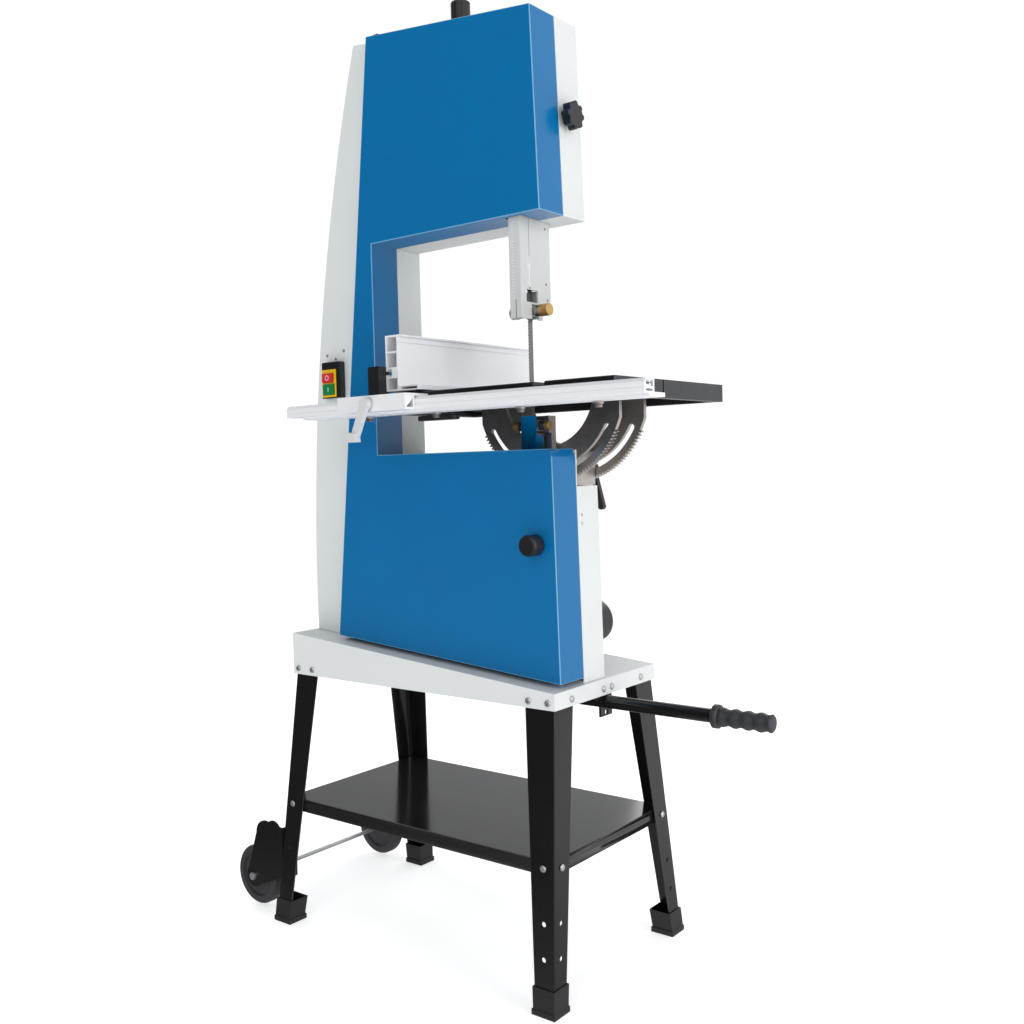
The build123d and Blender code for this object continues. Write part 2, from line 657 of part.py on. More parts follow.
with BuildPart() as dust_port:
    rod_between("y", (dust_x, 0, dust_z), 46, 0.2, 4)
    rod_between("y", (dust_x, 0, dust_z), 36, 3, 50)
    rod_between("y", (dust_x, 0, dust_z), 33, -5, 55, Mode.SUBTRACT)
save(dust_port, "dust_port")

# ---------------------------------------------------------------- guide post
# An open aluminium section round the blade, with a rack on its back.
post_left, post_right = 205, 227
post_front = -108
post_bottom, post_top = 1081, 1483
rack_pitch = 1.5 * math.pi
rack_line = knob_y - 12
with BuildPart() as guide_post:
    block((post_left, post_front, post_bottom), (post_right, post_front + 3, post_top))
    block((post_right - 3, post_front, post_bottom), (post_right, -50, post_top))
    block((post_left, post_front, post_bottom), (post_left + 3, -88, post_top))
    block((206, -59.5, 1130), (post_right, -57.4, post_top))
    block((218, -59.5, 1130), (post_right, -50, post_top))
    block((post_right - 4, -59.5, 1101), (post_right, -27, 1312))
    block((216, post_front - 1, post_bottom - 1), (218, post_front + 4, post_bottom + 30), Mode.SUBTRACT)
    block((post_right - 5, -93, 1108), (post_right + 1, -62, 1128), Mode.SUBTRACT)
    block((post_right - 5, -79, post_bottom - 1), (post_right + 1, -61, 1105), Mode.SUBTRACT)
    first_tooth = 1305
    count = int((post_top - first_tooth) / rack_pitch) - 1
    offset = math.ceil((first_tooth - knob_z) / rack_pitch) + 0.5
    for index in range(count):
        z = knob_z + (offset + index) * rack_pitch
        with BuildSketch(Plane.YZ.offset(206.5)) as rack_tooth:
            Polygon(
                (-57.6, z - 1.2), (rack_line + 1.5, z - 0.4), (rack_line + 1.5, z + 0.4), (-57.6, z + 1.2))
        extrude(rack_tooth.sketch, amount=10, dir=(1, 0, 0))
save(guide_post, "guide_post")

# ---------------------------------------------------------------- guide pinion and star knob
# The pinion's shaft passes through the head's right side to an eight-lobed knob.
with BuildPart() as guide_pinion:
    with BuildSketch(Plane.YZ.offset(207)) as pinion_face:
        with Locations((knob_y, knob_z)):
            Circle(10.1)
            with PolarLocations(0, 16, start_angle=180):
                Polygon((9.5, -1.2), (13.4, -0.4), (13.4, 0.4), (9.5, 1.2))
    extrude(pinion_face.sketch, amount=9, dir=(1, 0, 0))
    rod_between("x", (0, knob_y, knob_z), 5, 215, 292)
save(guide_pinion, "guide_pinion")

with BuildPart() as guide_knob:
    rod_between("x", (0, knob_y, knob_z), 18.5, 284, 298)
    for lobe in range(8):
        angle = 2 * math.pi * lobe / 8
        rod_between("x", (0, knob_y + 17.5 * math.cos(angle), knob_z + 17.5 * math.sin(angle)), 5, 284, 298)
    rod_between("x", (0, knob_y, knob_z), 9, 276, 285)
    rod_between("x", (0, knob_y, knob_z), 5, 270, 292, Mode.SUBTRACT)
save(guide_knob, "guide_knob")


# ---------------------------------------------------------------- blade guides
# A fork behind the blade holds a steel pin on each side, set by collars and brass knobs.
def guide_pins(z, left_end, right_end, collar, collar_left, collar_right):
    """A pin on each side of the blade, with its collar."""
    rod_between("x", (0, blade_mid, z), 5, left_end, blade_x - 0.3)
    rod_between("x", (0, blade_mid, z), 5, blade_x + 0.9, right_end)
    rod_between("x", (0, blade_mid, z), collar, *collar_left)
    rod_between("x", (0, blade_mid, z), collar, *collar_right)


upper_pin_z, lower_pin_z = 1094.7, 909
with BuildPart() as upper_guide_block:
    block((203, -62.5, 1084), (223, -50, 1128))
    block((200, -78, 1086), (205, -50, 1104))
    block((219, -78, 1086), (223, -60, 1104))
    rod_between("x", (0, blade_mid, upper_pin_z), 5.05, 190, 240, Mode.SUBTRACT)
save(upper_guide_block, "upper_guide_block")

with BuildPart() as upper_guide_pins:
    guide_pins(upper_pin_z, 186, 250, 9.4, (192.7, 199.7), (229, 238.3))
save(upper_guide_pins, "upper_guide_pins")

with BuildPart() as upper_guide_knobs:
    for start, end in ((180, 192.5), (238.5, 256)):
        rod_between("x", (0, blade_mid, upper_pin_z), 10, start, end)
    rod_between("x", (0, blade_mid, upper_pin_z), 5, 186, 250, Mode.SUBTRACT)
save(upper_guide_knobs, "upper_guide_knobs")

with BuildPart() as lower_guide_block:
    block((226, -54, deck_z + 0.2), (242, -42, 925))
    block((203, -61.5, 897), (242, -50, 925))
    block((199, -78, 900), (204, -50, 918))
    block((226, -78, 900), (231, -55, 918))
    rod_between("x", (0, blade_mid, lower_pin_z), 5.05, 190, 240, Mode.SUBTRACT)
save(lower_guide_block, "lower_guide_block")

with BuildPart() as lower_guide_pins:
    guide_pins(lower_pin_z, 186, 247, 8, (191, 198), (232, 240))
save(lower_guide_pins, "lower_guide_pins")

with BuildPart() as lower_guide_knobs:
    for start, end in ((180, 190.5), (242.4, 251)):
        rod_between("x", (0, blade_mid, lower_pin_z), 8, start, end)
    rod_between("x", (0, blade_mid, lower_pin_z), 5, 186, 247, Mode.SUBTRACT)
save(lower_guide_knobs, "lower_guide_knobs")

# ---------------------------------------------------------------- table
# A cast-iron plate with a deep rim, a mitre groove, a blade slot and a round insert seat.
insert_radius = 34.8
with BuildPart() as table:
    block((table_left, table_front, table_top_z - table_rim), (table_right, table_rear, table_top_z))
    block(
        (table_left + 12, table_front + 12, table_top_z - table_rim - 1),
        (table_right - 12, table_rear - 12, table_top_z - table_plate),
        Mode.SUBTRACT,
    )
    for x in (20, 400):
        block((x - 4, table_front + 6, table_top_z - 22), (x + 4, table_rear - 6, table_top_z - 5))
    block((320, table_front - 1, table_top_z - 6), (340, table_rear + 1, table_top_z + 1), Mode.SUBTRACT)
    rod_between("z", (blade_x, blade_mid, 0), 29, table_top_z - 20, table_top_z + 1, Mode.SUBTRACT)
    rod_between(
        "z", (blade_x, blade_mid, 0), insert_radius + 0.2, table_top_z - 3, table_top_z + 1, Mode.SUBTRACT)
    block(
        (blade_x, blade_mid - 1.5, table_top_z - table_rim - 1),
        (table_right + 1, blade_mid + 1.5, table_top_z + 1),
        Mode.SUBTRACT,
    )
    chamfer(table.edges().filter_by(Axis.X).group_by(Axis.Z)[-1].filter_by_position(Axis.Y, -220, -190), 2)
save(table, "table")

with BuildPart() as table_insert:
    rod_between("z", (blade_x, blade_mid, 0), insert_radius, table_top_z - 3, table_top_z)
    block((207, -84, table_top_z - 5), (223, -56, table_top_z + 1), Mode.SUBTRACT)
save(table_insert, "table_insert")

# ---------------------------------------------------------------- trunnions
# Two toothed half-rings under the table, centred on the line where the blade meets its top.
gear_module = 2
trunnion_teeth = 152
ring_pitch_radius = gear_module * trunnion_teeth / 2
ring_inner, ring_root, ring_tip = 92, 149.5, 154
pinion_teeth = 12
pinion_angle = -25
tooth_step = 360 / trunnion_teeth
slot_radius, slot_from, slot_to = 133, 5, 61
trunnion_top = table_top_z - table_plate


def ring_point(radius, degrees):
    """Point at a radius from the tilt line, at an angle from straight down towards +x."""
    angle = math.radians(degrees)
    return tilt_x + radius * math.sin(angle), tilt_z - radius * math.cos(angle)


slot_angles = (slot_from, (slot_from + slot_to) / 2, slot_to)
slot_lines = [
    ThreePointArc(*(ring_point(slot_radius, side * angle) for angle in slot_angles)) for side in (-1, 1)
]
for name, front in (("front_trunnion", -32), ("rear_trunnion", 43)):
    with BuildPart() as trunnion:
        with BuildSketch(Plane.XZ.offset(-front - 8)) as ring:
            with Locations((tilt_x, tilt_z)):
                Circle(ring_root)
                Circle(ring_inner, mode=Mode.SUBTRACT)
            with Locations((tilt_x, 780 + (trunnion_top - 780) / 2)):
                Rectangle(282, trunnion_top - 780, mode=Mode.INTERSECT)
            with Locations((tilt_x, tilt_z)):
                first = pinion_angle - 15.5 * tooth_step
                sweep = 52 * tooth_step
                with PolarLocations(0, 53, start_angle=first - 90, angular_range=sweep, endpoint=True):
                    Polygon((149, -1.7), (ring_tip, -0.6), (ring_tip, 0.6), (149, 1.7))
            for slot_line in slot_lines:
                SlotArc(slot_line, 10.8, mode=Mode.SUBTRACT)
        extrude(ring.sketch, amount=8, dir=(0, -1, 0))
        for side in (-1, 1):
            low, high = sorted((tilt_x + side * 94, tilt_x + side * 140.5))
            block((low, front - 10, trunnion_top - 8), (high, front + 18, trunnion_top))
    save(trunnion, name)

# ---------------------------------------------------------------- table bracket
# The cradle between the trunnions, bolted to the deck and the housing's back.
clamp_x, clamp_z = ring_point(slot_radius, 12)
pinion_x, pinion_z = ring_point(ring_pitch_radius + gear_module * pinion_teeth / 2 + 0.2, pinion_angle)
with BuildPart() as table_bracket:
    block((168, -22, deck_z + 0.2), (262, 41, 866))
    block((132, 18, 802), (170, 41, 838))
    block((150, 0.3, 760), (262, 8, 812))
    rod_between("y", (clamp_x, 0, clamp_z), 5.1, -30, 50, Mode.SUBTRACT)
    rod_between("y", (pinion_x, 0, pinion_z), 5.06, 10, 50, Mode.SUBTRACT)
    block((190, -30, 828), (226, 50, 852), Mode.SUBTRACT)
save(table_bracket, "table_bracket")

with BuildPart() as tilt_pinion:
    with BuildSketch(Plane.XZ.offset(-51)) as pinion_face:
        with Locations((pinion_x, pinion_z)):
            Circle(9.6)
            with PolarLocations(0, pinion_teeth, start_angle=90 + pinion_angle):
                Polygon((9, -1.7), (13.8, -0.5), (13.8, 0.5), (9, 1.7))
    extrude(pinion_face.sketch, amount=8, dir=(0, -1, 0))
    rod_between("y", (pinion_x, 0, pinion_z), 5, 20, 86)
save(tilt_pinion, "tilt_pinion")

with BuildPart() as tilt_knob:
    rod_between("y", (pinion_x, 0, pinion_z), 24, 70, 90)
    fillet(tilt_knob.edges().filter_by(GeomType.CIRCLE).group_by(Axis.Y)[-1], 4)
    rod_between("y", (pinion_x, 0, pinion_z), 9, 60, 71)
    rod_between("y", (pinion_x, 0, pinion_z), 5, 55, 86, Mode.SUBTRACT)
save(tilt_knob, "tilt_knob")

with BuildPart() as tilt_lock_lever:
    rod_between("y", (clamp_x, 0, clamp_z), 5, -38, 60)
    rod_between("y", (clamp_x, 0, clamp_z), 8.5, -38, -32.6)
    rod_between("y", (clamp_x, 0, clamp_z), 9, 52, 64)
    lever_tip = (clamp_x + 17, clamp_z - 66)
    slab(
        [
            (clamp_x - 5, clamp_z),
            (clamp_x + 5, clamp_z),
            (lever_tip[0] + 6, lever_tip[1]),
            (lever_tip[0] - 6, lever_tip[1]),
        ],
        54,
        63,
    )
    rod_between("y", (lever_tip[0], 0, lever_tip[1]), 6, 54, 63)
save(tilt_lock_lever, "tilt_lock_lever")

# ---------------------------------------------------------------- fence rail
# A hollow aluminium extrusion, hung by its flange under the table's front edge.
rail_left, rail_right = -195, 530
rail_front, rail_back = -239, -212.3
rail_low, rail_high = 938, 958
with BuildPart() as rail:
    block((rail_left, rail_front, rail_low), (rail_right, rail_back, rail_high))
    chamfer(rail.edges().filter_by(Axis.X).group_by(Axis.Y)[0].group_by(Axis.Z)[-1], 5)
    block((rail_left + 28, -226, 933.5), (rail_right, -184, 939.6))
    cells = (((-234, 949), (-226, 954.5)), ((-222, 947), (-215.5, 955)), ((-234, 940.5), (-216, 943.5)))
    for low, high in cells:
        block((rail_left - 1, *low), (rail_right + 1, *high), Mode.SUBTRACT)
    block((rail_left - 1, -227, 950.5), (rail_right + 1, -221, 952.5), Mode.SUBTRACT)
    block((rail_left - 1, rail_front - 1, 945), (rail_right + 1, rail_front + 1, 947), Mode.SUBTRACT)
save(rail, "rail")

# ---------------------------------------------------------------- rip fence
# A carrier rides on the rail; a tall hollow extrusion stands on it across the table.
carrier_left, carrier_right = -40, 112
carrier_front = -262
with BuildPart() as fence_carrier:
    block((carrier_left, carrier_front, 937), (carrier_right, rail_front - 0.5, 963))
    block((carrier_left, carrier_front, rail_high + 0.8), (carrier_right, -208, 963))
    hollow = [(carrier_front + 3, 941), (rail_front - 4, 941), (rail_front - 4, 955)]
    with BuildSketch(Plane.YZ.offset(carrier_left - 1)) as hollow_face:
        Polygon(*hollow)
    extrude(hollow_face.sketch, amount=200, dir=(1, 0, 0), mode=Mode.SUBTRACT)
    block((2, -232, 962), (26.6, -208, 1012))
    rod_between("y", (33, 0, 950), 4, carrier_front - 3, carrier_front + 10)
save(fence_carrier, "fence_carrier")

fence_front, fence_back = -215, 147
fence_low, fence_high = 971, 1062
with BuildPart() as fence:
    block((27, fence_front, fence_low), (54, fence_back, fence_high))
    block((53, fence_front, fence_low), (98, fence_back, fence_low + 8))
    block((53, fence_front, fence_high - 3), (60, fence_back, fence_high))
    block((53, fence_front, fence_high - 12), (57, fence_back, fence_high - 9))
    for low, high in ((fence_low + 3, 992), (1010, 1033), (1036, fence_high - 3)):
        block((30, fence_front - 1, low), (51.5, fence_back + 1, high), Mode.SUBTRACT)
    block((26, fence_front - 1, 998), (30, fence_back + 1, 1004), Mode.SUBTRACT)
    block((30, fence_front - 1, 995), (40, fence_back + 1, 1007), Mode.SUBTRACT)
    block((60, fence_front - 1, fence_low + 2), (95, fence_back + 1, fence_low + 6), Mode.SUBTRACT)
save(fence, "fence")

with BuildPart() as fence_clamp_lever:
    rod_between("y", (33, 0, 950), 9, -276, carrier_front - 3.3)
    slab([(26, 952), (39, 946), (13, 893), (1, 897)], -275, carrier_front - 4)
    slab([(-6, 905), (14, 903), (16, 889), (-4, 889)], lever_front, carrier_front - 4)
    rod_between("y", (33, 0, 950), 4.05, -268, carrier_front, Mode.SUBTRACT)
save(fence_clamp_lever, "fence_clamp_lever")

# ---------------------------------------------------------------- switch
# A small box on the column's front face with a green start and a red stop button.
with BuildPart() as switch_box:
    block((-254, -101, 980), (-205, column_front, 1047))
    block((-250.3, -102, 1008.7), (-221.7, -94, 1026.3), Mode.SUBTRACT)
    block((-250.3, -102, 985.7), (-219.7, -94, 1006.3), Mode.SUBTRACT)
    fillet(switch_box.edges().filter_by(Axis.Y).group_by(Axis.Z)[-1], 3)
save(switch_box, "switch_box")

for name, low, high in (
    ("stop_button", (-250, -105.5, 1009), (-222, -98, 1026)),
    ("start_button", (-250, -104, 986), (-220, -98, 1006)),
):
    with BuildPart() as button:
        block(low, high)
        fillet(button.edges().filter_by(Axis.Y), 2)
    save(button, name)
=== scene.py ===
import json
import math

import bmesh
import bpy
from mathutils import Matrix, Vector


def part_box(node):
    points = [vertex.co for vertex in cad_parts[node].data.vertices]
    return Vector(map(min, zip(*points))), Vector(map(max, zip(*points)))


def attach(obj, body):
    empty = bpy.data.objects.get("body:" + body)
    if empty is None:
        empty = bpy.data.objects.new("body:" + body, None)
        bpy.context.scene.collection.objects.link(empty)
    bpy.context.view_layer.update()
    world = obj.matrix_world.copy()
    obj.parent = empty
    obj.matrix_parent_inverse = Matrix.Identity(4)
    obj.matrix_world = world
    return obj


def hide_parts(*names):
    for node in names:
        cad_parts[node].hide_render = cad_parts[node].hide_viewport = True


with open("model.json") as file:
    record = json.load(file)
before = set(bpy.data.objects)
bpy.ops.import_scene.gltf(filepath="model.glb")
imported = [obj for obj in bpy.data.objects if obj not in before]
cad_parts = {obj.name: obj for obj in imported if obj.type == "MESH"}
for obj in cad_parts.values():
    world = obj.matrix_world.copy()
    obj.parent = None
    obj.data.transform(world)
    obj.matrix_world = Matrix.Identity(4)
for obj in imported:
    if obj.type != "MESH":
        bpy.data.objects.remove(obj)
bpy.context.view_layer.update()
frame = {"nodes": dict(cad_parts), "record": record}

mm = 0.001

# ------------------------------------------------------------------ studio
# A seamless pale floor in a white room. Four large soft lamps stand in front, behind, and to the
# left and right of the saw, so that edges and folds show without hard shadows.


def linear(hex_colour, alpha=1.0):
    """An sRGB hex colour as linear red, green, blue and alpha."""
    channels = [int(hex_colour[i:i + 2], 16) / 255 for i in (1, 3, 5)]
    return tuple(c / 12.92 if c < 0.04045 else ((c + 0.055) / 1.055) ** 2.4 for c in channels) + (alpha,)


def add(tree, kind, inputs=(), **settings):
    """Adds a node with its settings, and feeds its inputs with values or with other nodes' outputs."""
    node = tree.nodes.new(kind)
    for name, value in settings.items():
        setattr(node, name, value)
    for name, value in dict(inputs).items():
        if isinstance(value, bpy.types.NodeSocket):
            tree.links.new(value, node.inputs[name])
        else:
            node.inputs[name].default_value = value
    return node


def new_material(name):
    """An empty material with its output, and the object's own coordinates in metres."""
    material = bpy.data.materials.new(name)
    material.use_nodes = True
    tree = material.node_tree
    tree.nodes.clear()
    place = add(tree, "ShaderNodeTexCoord").outputs["Object"]
    return material, tree, place


scene = bpy.context.scene
scene.view_settings.view_transform = "Standard"
scene.view_settings.look = "None"

world = bpy.data.worlds.new("white room")
scene.world = world
world.use_nodes = True
world.node_tree.nodes.clear()
room_light = add(world.node_tree, "ShaderNodeBackground", {"Color": (0.95, 0.975, 1.0, 1), "Strength": 0.50})
room_seen = add(world.node_tree, "ShaderNodeBackground", {"Color": (1, 1, 1, 1), "Strength": 1.05})
room_ray = add(world.node_tree, "ShaderNodeLightPath")
# What a shiny surface mirrors: the room is darkest behind the operator's left shoulder.
room_way = add(world.node_tree, "ShaderNodeTexCoord").outputs["Generated"]
towards_bright = (0.7, 0.7, 0.0)
room_turn = add(
    world.node_tree, "ShaderNodeVectorMath", {0: room_way, 1: towards_bright}, operation="DOT_PRODUCT")
room_fade = add(world.node_tree, "ShaderNodeMapRange", {
    "Value": room_turn.outputs["Value"], "From Min": -0.9, "From Max": 0.9, "To Min": 0.02, "To Max": 0.95})
room_mirrored = add(world.node_tree, "ShaderNodeBackground", {
    "Color": (0.97, 0.985, 1.0, 1), "Strength": room_fade.outputs["Result"]})
room_lit = add(world.node_tree, "ShaderNodeMixShader", {
    0: room_ray.outputs["Is Glossy Ray"], 1: room_light.outputs[0], 2: room_mirrored.outputs[0]})
room_mix = add(world.node_tree, "ShaderNodeMixShader", {
    0: room_ray.outputs["Is Camera Ray"], 1: room_lit.outputs[0], 2: room_seen.outputs[0]})
add(world.node_tree, "ShaderNodeOutputWorld", {"Surface": room_mix.outputs[0]})

floor_mesh = bpy.data.meshes.new("floor")
floor_size = 14
floor_mesh.from_pydata(
    [(x * floor_size, y * floor_size, -0.0005) for x, y in ((-1, -1), (1, -1), (1, 1), (-1, 1))],
    [], [(0, 1, 2, 3)])
floor = bpy.data.objects.new("floor", floor_mesh)
scene.collection.objects.link(floor)
paper, tree, place = new_material("white paper")
paper_shade = add(tree, "ShaderNodeBsdfPrincipled", {
    "Base Color": linear("#F6F7F7"), "Roughness": 0.9, "Specular IOR Level": 0.1,
    "Emission Color": (1, 1, 1, 1), "Emission Strength": 0.56})
# In a mirror the paper fades the same way as the room does.
floor_turn = add(tree, "ShaderNodeVectorMath", {0: place, 1: towards_bright}, operation="DOT_PRODUCT")
floor_fade = add(tree, "ShaderNodeMapRange", {
    "Value": floor_turn.outputs["Value"], "From Min": -0.8, "From Max": 1.2, "To Min": 0.07, "To Max": 0.85})
floor_mirrored = add(tree, "ShaderNodeEmission", {
    "Color": (1, 1, 1, 1), "Strength": floor_fade.outputs["Result"]})
floor_ray = add(tree, "ShaderNodeLightPath")
floor_mix = add(tree, "ShaderNodeMixShader", {
    0: floor_ray.outputs["Is Glossy Ray"], 1: paper_shade.outputs[0], 2: floor_mirrored.outputs[0]})
add(tree, "ShaderNodeOutputMaterial", {"Surface": floor_mix.outputs[0]})
floor_mesh.materials.append(paper)

camera_yaw, camera_pitch, camera_roll = (math.radians(a) for a in (38.15, -2.43, -1.49))
ahead = Vector((-math.sin(camera_yaw) * math.cos(camera_pitch),
                math.cos(camera_yaw) * math.cos(camera_pitch), math.sin(camera_pitch)))
level = Vector((math.cos(camera_yaw), math.sin(camera_yaw), 0))
above = level.cross(ahead)
camera_right = level * math.cos(camera_roll) + above * math.sin(camera_roll)
camera_up = above * math.cos(camera_roll) - level * math.sin(camera_roll)
camera_data = bpy.data.cameras.new("camera")
camera_data.sensor_width = 36
camera_data.lens = 37.81
camera = bpy.data.objects.new("camera", camera_data)
camera.matrix_world = Matrix.Translation((1.20857, -1.44331, 0.8438)) @ Matrix(
    (camera_right, camera_up, -ahead)).transposed().to_4x4()
scene.collection.objects.link(camera)
scene.camera = camera


def lamp(name, place, aim, size, power, colour=(1, 1, 1)):
    """A large soft rectangular lamp that faces a point."""
    data = bpy.data.lights.new(name, "AREA")
    data.shape = "RECTANGLE"
    data.size, data.size_y = size
    data.energy = power
    data.color = colour
    item = bpy.data.objects.new(name, data)
    item.location = place
    item.rotation_euler = (Vector(aim) - Vector(place)).to_track_quat("-Z", "Y").to_euler()
    scene.collection.objects.link(item)


lamp("front softbox", (0.9, -3.4, 2.5), (0, 0, 0.9), (1.6, 2.0), 25)
lamp("right softbox", (4.6, -0.3, 1.7), (0, 0, 0.9), (2.2, 3.0), 74)
lamp("left softbox", (-3.0, 0.4, 1.8), (0, 0, 0.9), (1.2, 2.4), 14)
lamp("rear softbox", (-0.6, 3.0, 2.2), (0, 0, 0.9), (2.0, 2.0), 22)

# ------------------------------------------------------------------ stand
# A sheet-steel plinth on four folded legs with a shelf tray between them. The plinth is powder
# coated off-white, the legs and tray satin black, and the legs stand in moulded rubber boots.

nodes_of_body = frame["record"]["behaviour"]["bodies"]
body_of_node = {node: body for body, nodes in nodes_of_body.items() for node in nodes}


def settle(mesh, name, material, body, replaced=()):
    """Makes a mesh into a piece that rides on a body, with the given material."""
    mesh.materials.clear()
    mesh.materials.append(material)
    piece = bpy.data.objects.new(name, mesh)
    scene.collection.objects.link(piece)
    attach(piece, body)
    if replaced:
        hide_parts(*replaced)
    return piece


def mark_folds(mesh, shortest):
    """Gives a bevel weight to the long outer edges of a shape, where its sheet is folded."""
    shape = bmesh.new()
    shape.from_mesh(mesh)
    weight = shape.edges.layers.float.new("bevel_weight_edge")
    for edge in shape.edges:
        sharp = len(edge.link_faces) == 2 and edge.calc_face_angle() > math.radians(32)
        if sharp and edge.is_convex and edge.calc_length() > shortest:
            edge[weight] = 1.0
    shape.to_mesh(mesh)
    shape.free()


def soften(piece, edge, segments=2, angle=32, fold=None):
    """Rounds a piece's sharp edges to a real radius in metres, in a material of their own if one is given:
    that fold material is a painted highlight.
    """
    for face in piece.data.polygons:
        face.use_smooth = True
    round_over = piece.modifiers.new("edge radius", "BEVEL")
    round_over.width = edge
    round_over.segments = segments
    round_over.limit_method = "ANGLE"
    round_over.angle_limit = math.radians(angle)
    round_over.harden_normals = True
    round_over.miter_outer = "MITER_ARC"
    # The fold material is a painted highlight on the rounded long folds.
    if fold:
        piece.data.materials.append(fold)
        round_over.material = 1
        round_over.use_clamp_overlap = False
        round_over.limit_method = "WEIGHT"
        mark_folds(piece.data, 60 * mm)
    even = piece.modifiers.new("flat faces", "WEIGHTED_NORMAL")
    even.keep_sharp = True


def made_from(node, name, material, edge, segments=2, fold=None):
    """Rebuilds a node's shape as clean faces, with its edges rounded, and takes its place."""
    shape = bmesh.new()
    shape.from_mesh(frame["nodes"][node].data)
    bmesh.ops.remove_doubles(shape, verts=shape.verts, dist=2e-6)
    bmesh.ops.dissolve_limit(
        shape, angle_limit=math.radians(0.6), verts=shape.verts, edges=shape.edges, delimit=set())
    mesh = bpy.data.meshes.new(name)
    shape.to_mesh(mesh)
    shape.free()
    piece = settle(mesh, name, material, body_of_node[node], (node,))
    if edge:
        soften(piece, edge, segments, fold=fold)
    return piece


def powder_coat(name, colour, shade, roughness, peel_mm, peel_depth, gloss=0.3):
    """Baked powder coat: an even colour with a faint orange-peel skin that breaks up reflections."""
    material, tree, place = new_material(name)
    drift = add(tree, "ShaderNodeTexNoise", {"Vector": place, "Scale": 1 / (140 * mm), "Detail": 2.0})
    tint = add(tree, "ShaderNodeMix", {
        0: drift.outputs["Fac"], 6: linear(colour), 7: linear(shade)}, data_type="RGBA")
    peel = add(tree, "ShaderNodeTexNoise", {
        "Vector": place, "Scale": 1 / (peel_mm * mm), "Detail": 2.0, "Roughness": 0.45})
    skin = add(tree, "ShaderNodeBump", {
        "Height": peel.outputs["Fac"], "Strength": peel_depth, "Distance": 0.4 * mm})
    rub = add(tree, "ShaderNodeMapRange", {
        "Value": drift.outputs["Fac"], "To Min": roughness - 0.04, "To Max": roughness + 0.05})
    shader = add(tree, "ShaderNodeBsdfPrincipled", {
        "Base Color": tint.outputs[2], "Roughness": rub.outputs[0], "Normal": skin.outputs[0],
        "IOR": 1.5, "Specular IOR Level": gloss})
    add(tree, "ShaderNodeOutputMaterial", {"Surface": shader.outputs[0]})
    return material


def moulded(name, colour, shade, roughness, grain_mm, grain_depth):
    """Moulded rubber or plastic: a fine even grain left by the tool, and a dull or silky shine."""
    material, tree, place = new_material(name)
    grain = add(tree, "ShaderNodeTexNoise", {"Vector": place, "Scale": 1 / (grain_mm * mm), "Detail": 3.0})
    cloud = add(tree, "ShaderNodeTexNoise", {"Vector": place, "Scale": 1 / (25 * mm), "Detail": 2.0})
    tint = add(tree, "ShaderNodeMix", {
        0: cloud.outputs["Fac"], 6: linear(colour), 7: linear(shade)}, data_type="RGBA")
    skin = add(tree, "ShaderNodeBump", {
        "Height": grain.outputs["Fac"], "Strength": grain_depth, "Distance": 0.2 * mm})
    rub = add(tree, "ShaderNodeMapRange", {
        "Value": cloud.outputs["Fac"], "To Min": roughness - 0.06, "To Max": roughness + 0.06})
    shader = add(tree, "ShaderNodeBsdfPrincipled", {
        "Base Color": tint.outputs[2], "Roughness": rub.outputs[0], "Normal": skin.outputs[0], "IOR": 1.5})
    add(tree, "ShaderNodeOutputMaterial", {"Surface": shader.outputs[0]})
    return material


def worked_metal(
        name, colour, shade, roughness, line_mm=0.9, along=(1, 1, 1), mottle=0.0, depth=0.15, metal=1.0):
    """Bare metal: tool lines along one direction, or a sand-cast mottle, with duller patches."""
    material, tree, place = new_material(name)
    scale = 1 / (line_mm * mm)
    turned = add(tree, "ShaderNodeMapping", {"Vector": place, "Scale": tuple(scale * a for a in along)})
    lines = add(tree, "ShaderNodeTexNoise", {"Vector": turned.outputs[0], "Scale": 1.0, "Detail": 3.0})
    cloud = add(tree, "ShaderNodeTexNoise", {"Vector": place, "Scale": 1 / (18 * mm), "Detail": 3.0})
    both = add(tree, "ShaderNodeMix", {
        0: 0.35 + 0.5 * mottle, 2: lines.outputs["Fac"], 3: cloud.outputs["Fac"]}, data_type="FLOAT")
    tint = add(tree, "ShaderNodeMix", {
        0: both.outputs[0], 6: linear(colour), 7: linear(shade)}, data_type="RGBA")
    skin = add(tree, "ShaderNodeBump", {
        "Height": lines.outputs["Fac"], "Strength": depth, "Distance": 0.15 * mm})
    rub = add(tree, "ShaderNodeMapRange", {
        "Value": both.outputs[0], "To Min": roughness - 0.08, "To Max": roughness + 0.12})
    shader = add(tree, "ShaderNodeBsdfPrincipled", {
        "Base Color": tint.outputs[2], "Roughness": rub.outputs[0], "Normal": skin.outputs[0],
        "Metallic": metal})
    add(tree, "ShaderNodeOutputMaterial", {"Surface": shader.outputs[0]})
    return material


# Off-white polyester powder coat: cool and nearly matt, with soft broad reflections.
white_coat = powder_coat("white powder coat", "#E3E6E5", "#DBDEDD", 0.42, 2.6, 0.10)
# Satin black powder coat: smooth enough to mirror the room along the flat of a leg.
black_coat = powder_coat("black powder coat", "#131314", "#1A1919", 0.20, 6.0, 0.008, gloss=0.5)
# Painted highlight: a lighter grey coat on the rounded long folds of the legs and tray, standing in for the
# shine along each fold.
black_fold_highlight = powder_coat("black powder coat with painted fold highlight", "#4B4A4A", "#3E3D3D", 0.22, 6.0, 0.03, gloss=0.5)
# The same black paint on the flat tray, where it lies smoother and mirrors the legs; its base is a little
# lighter than the legs' black, which paints in part of the brighter reflection on the tray.
black_gloss = powder_coat("smooth black powder coat", "#1B1A1C", "#211F20", 0.13, 9.0, 0.012, gloss=0.8)
# Moulded rubber: dull, dark grey, with a little bloom.
foot_rubber = moulded("moulded rubber", "#222224", "#2C2C2E", 0.62, 1.2, 0.20)
# Bright zinc plate on a pressed bolt head.
zinc_plate = worked_metal("bright zinc plate", "#DADCDD", "#BCBEC0", 0.34, depth=0.05, metal=0.8)

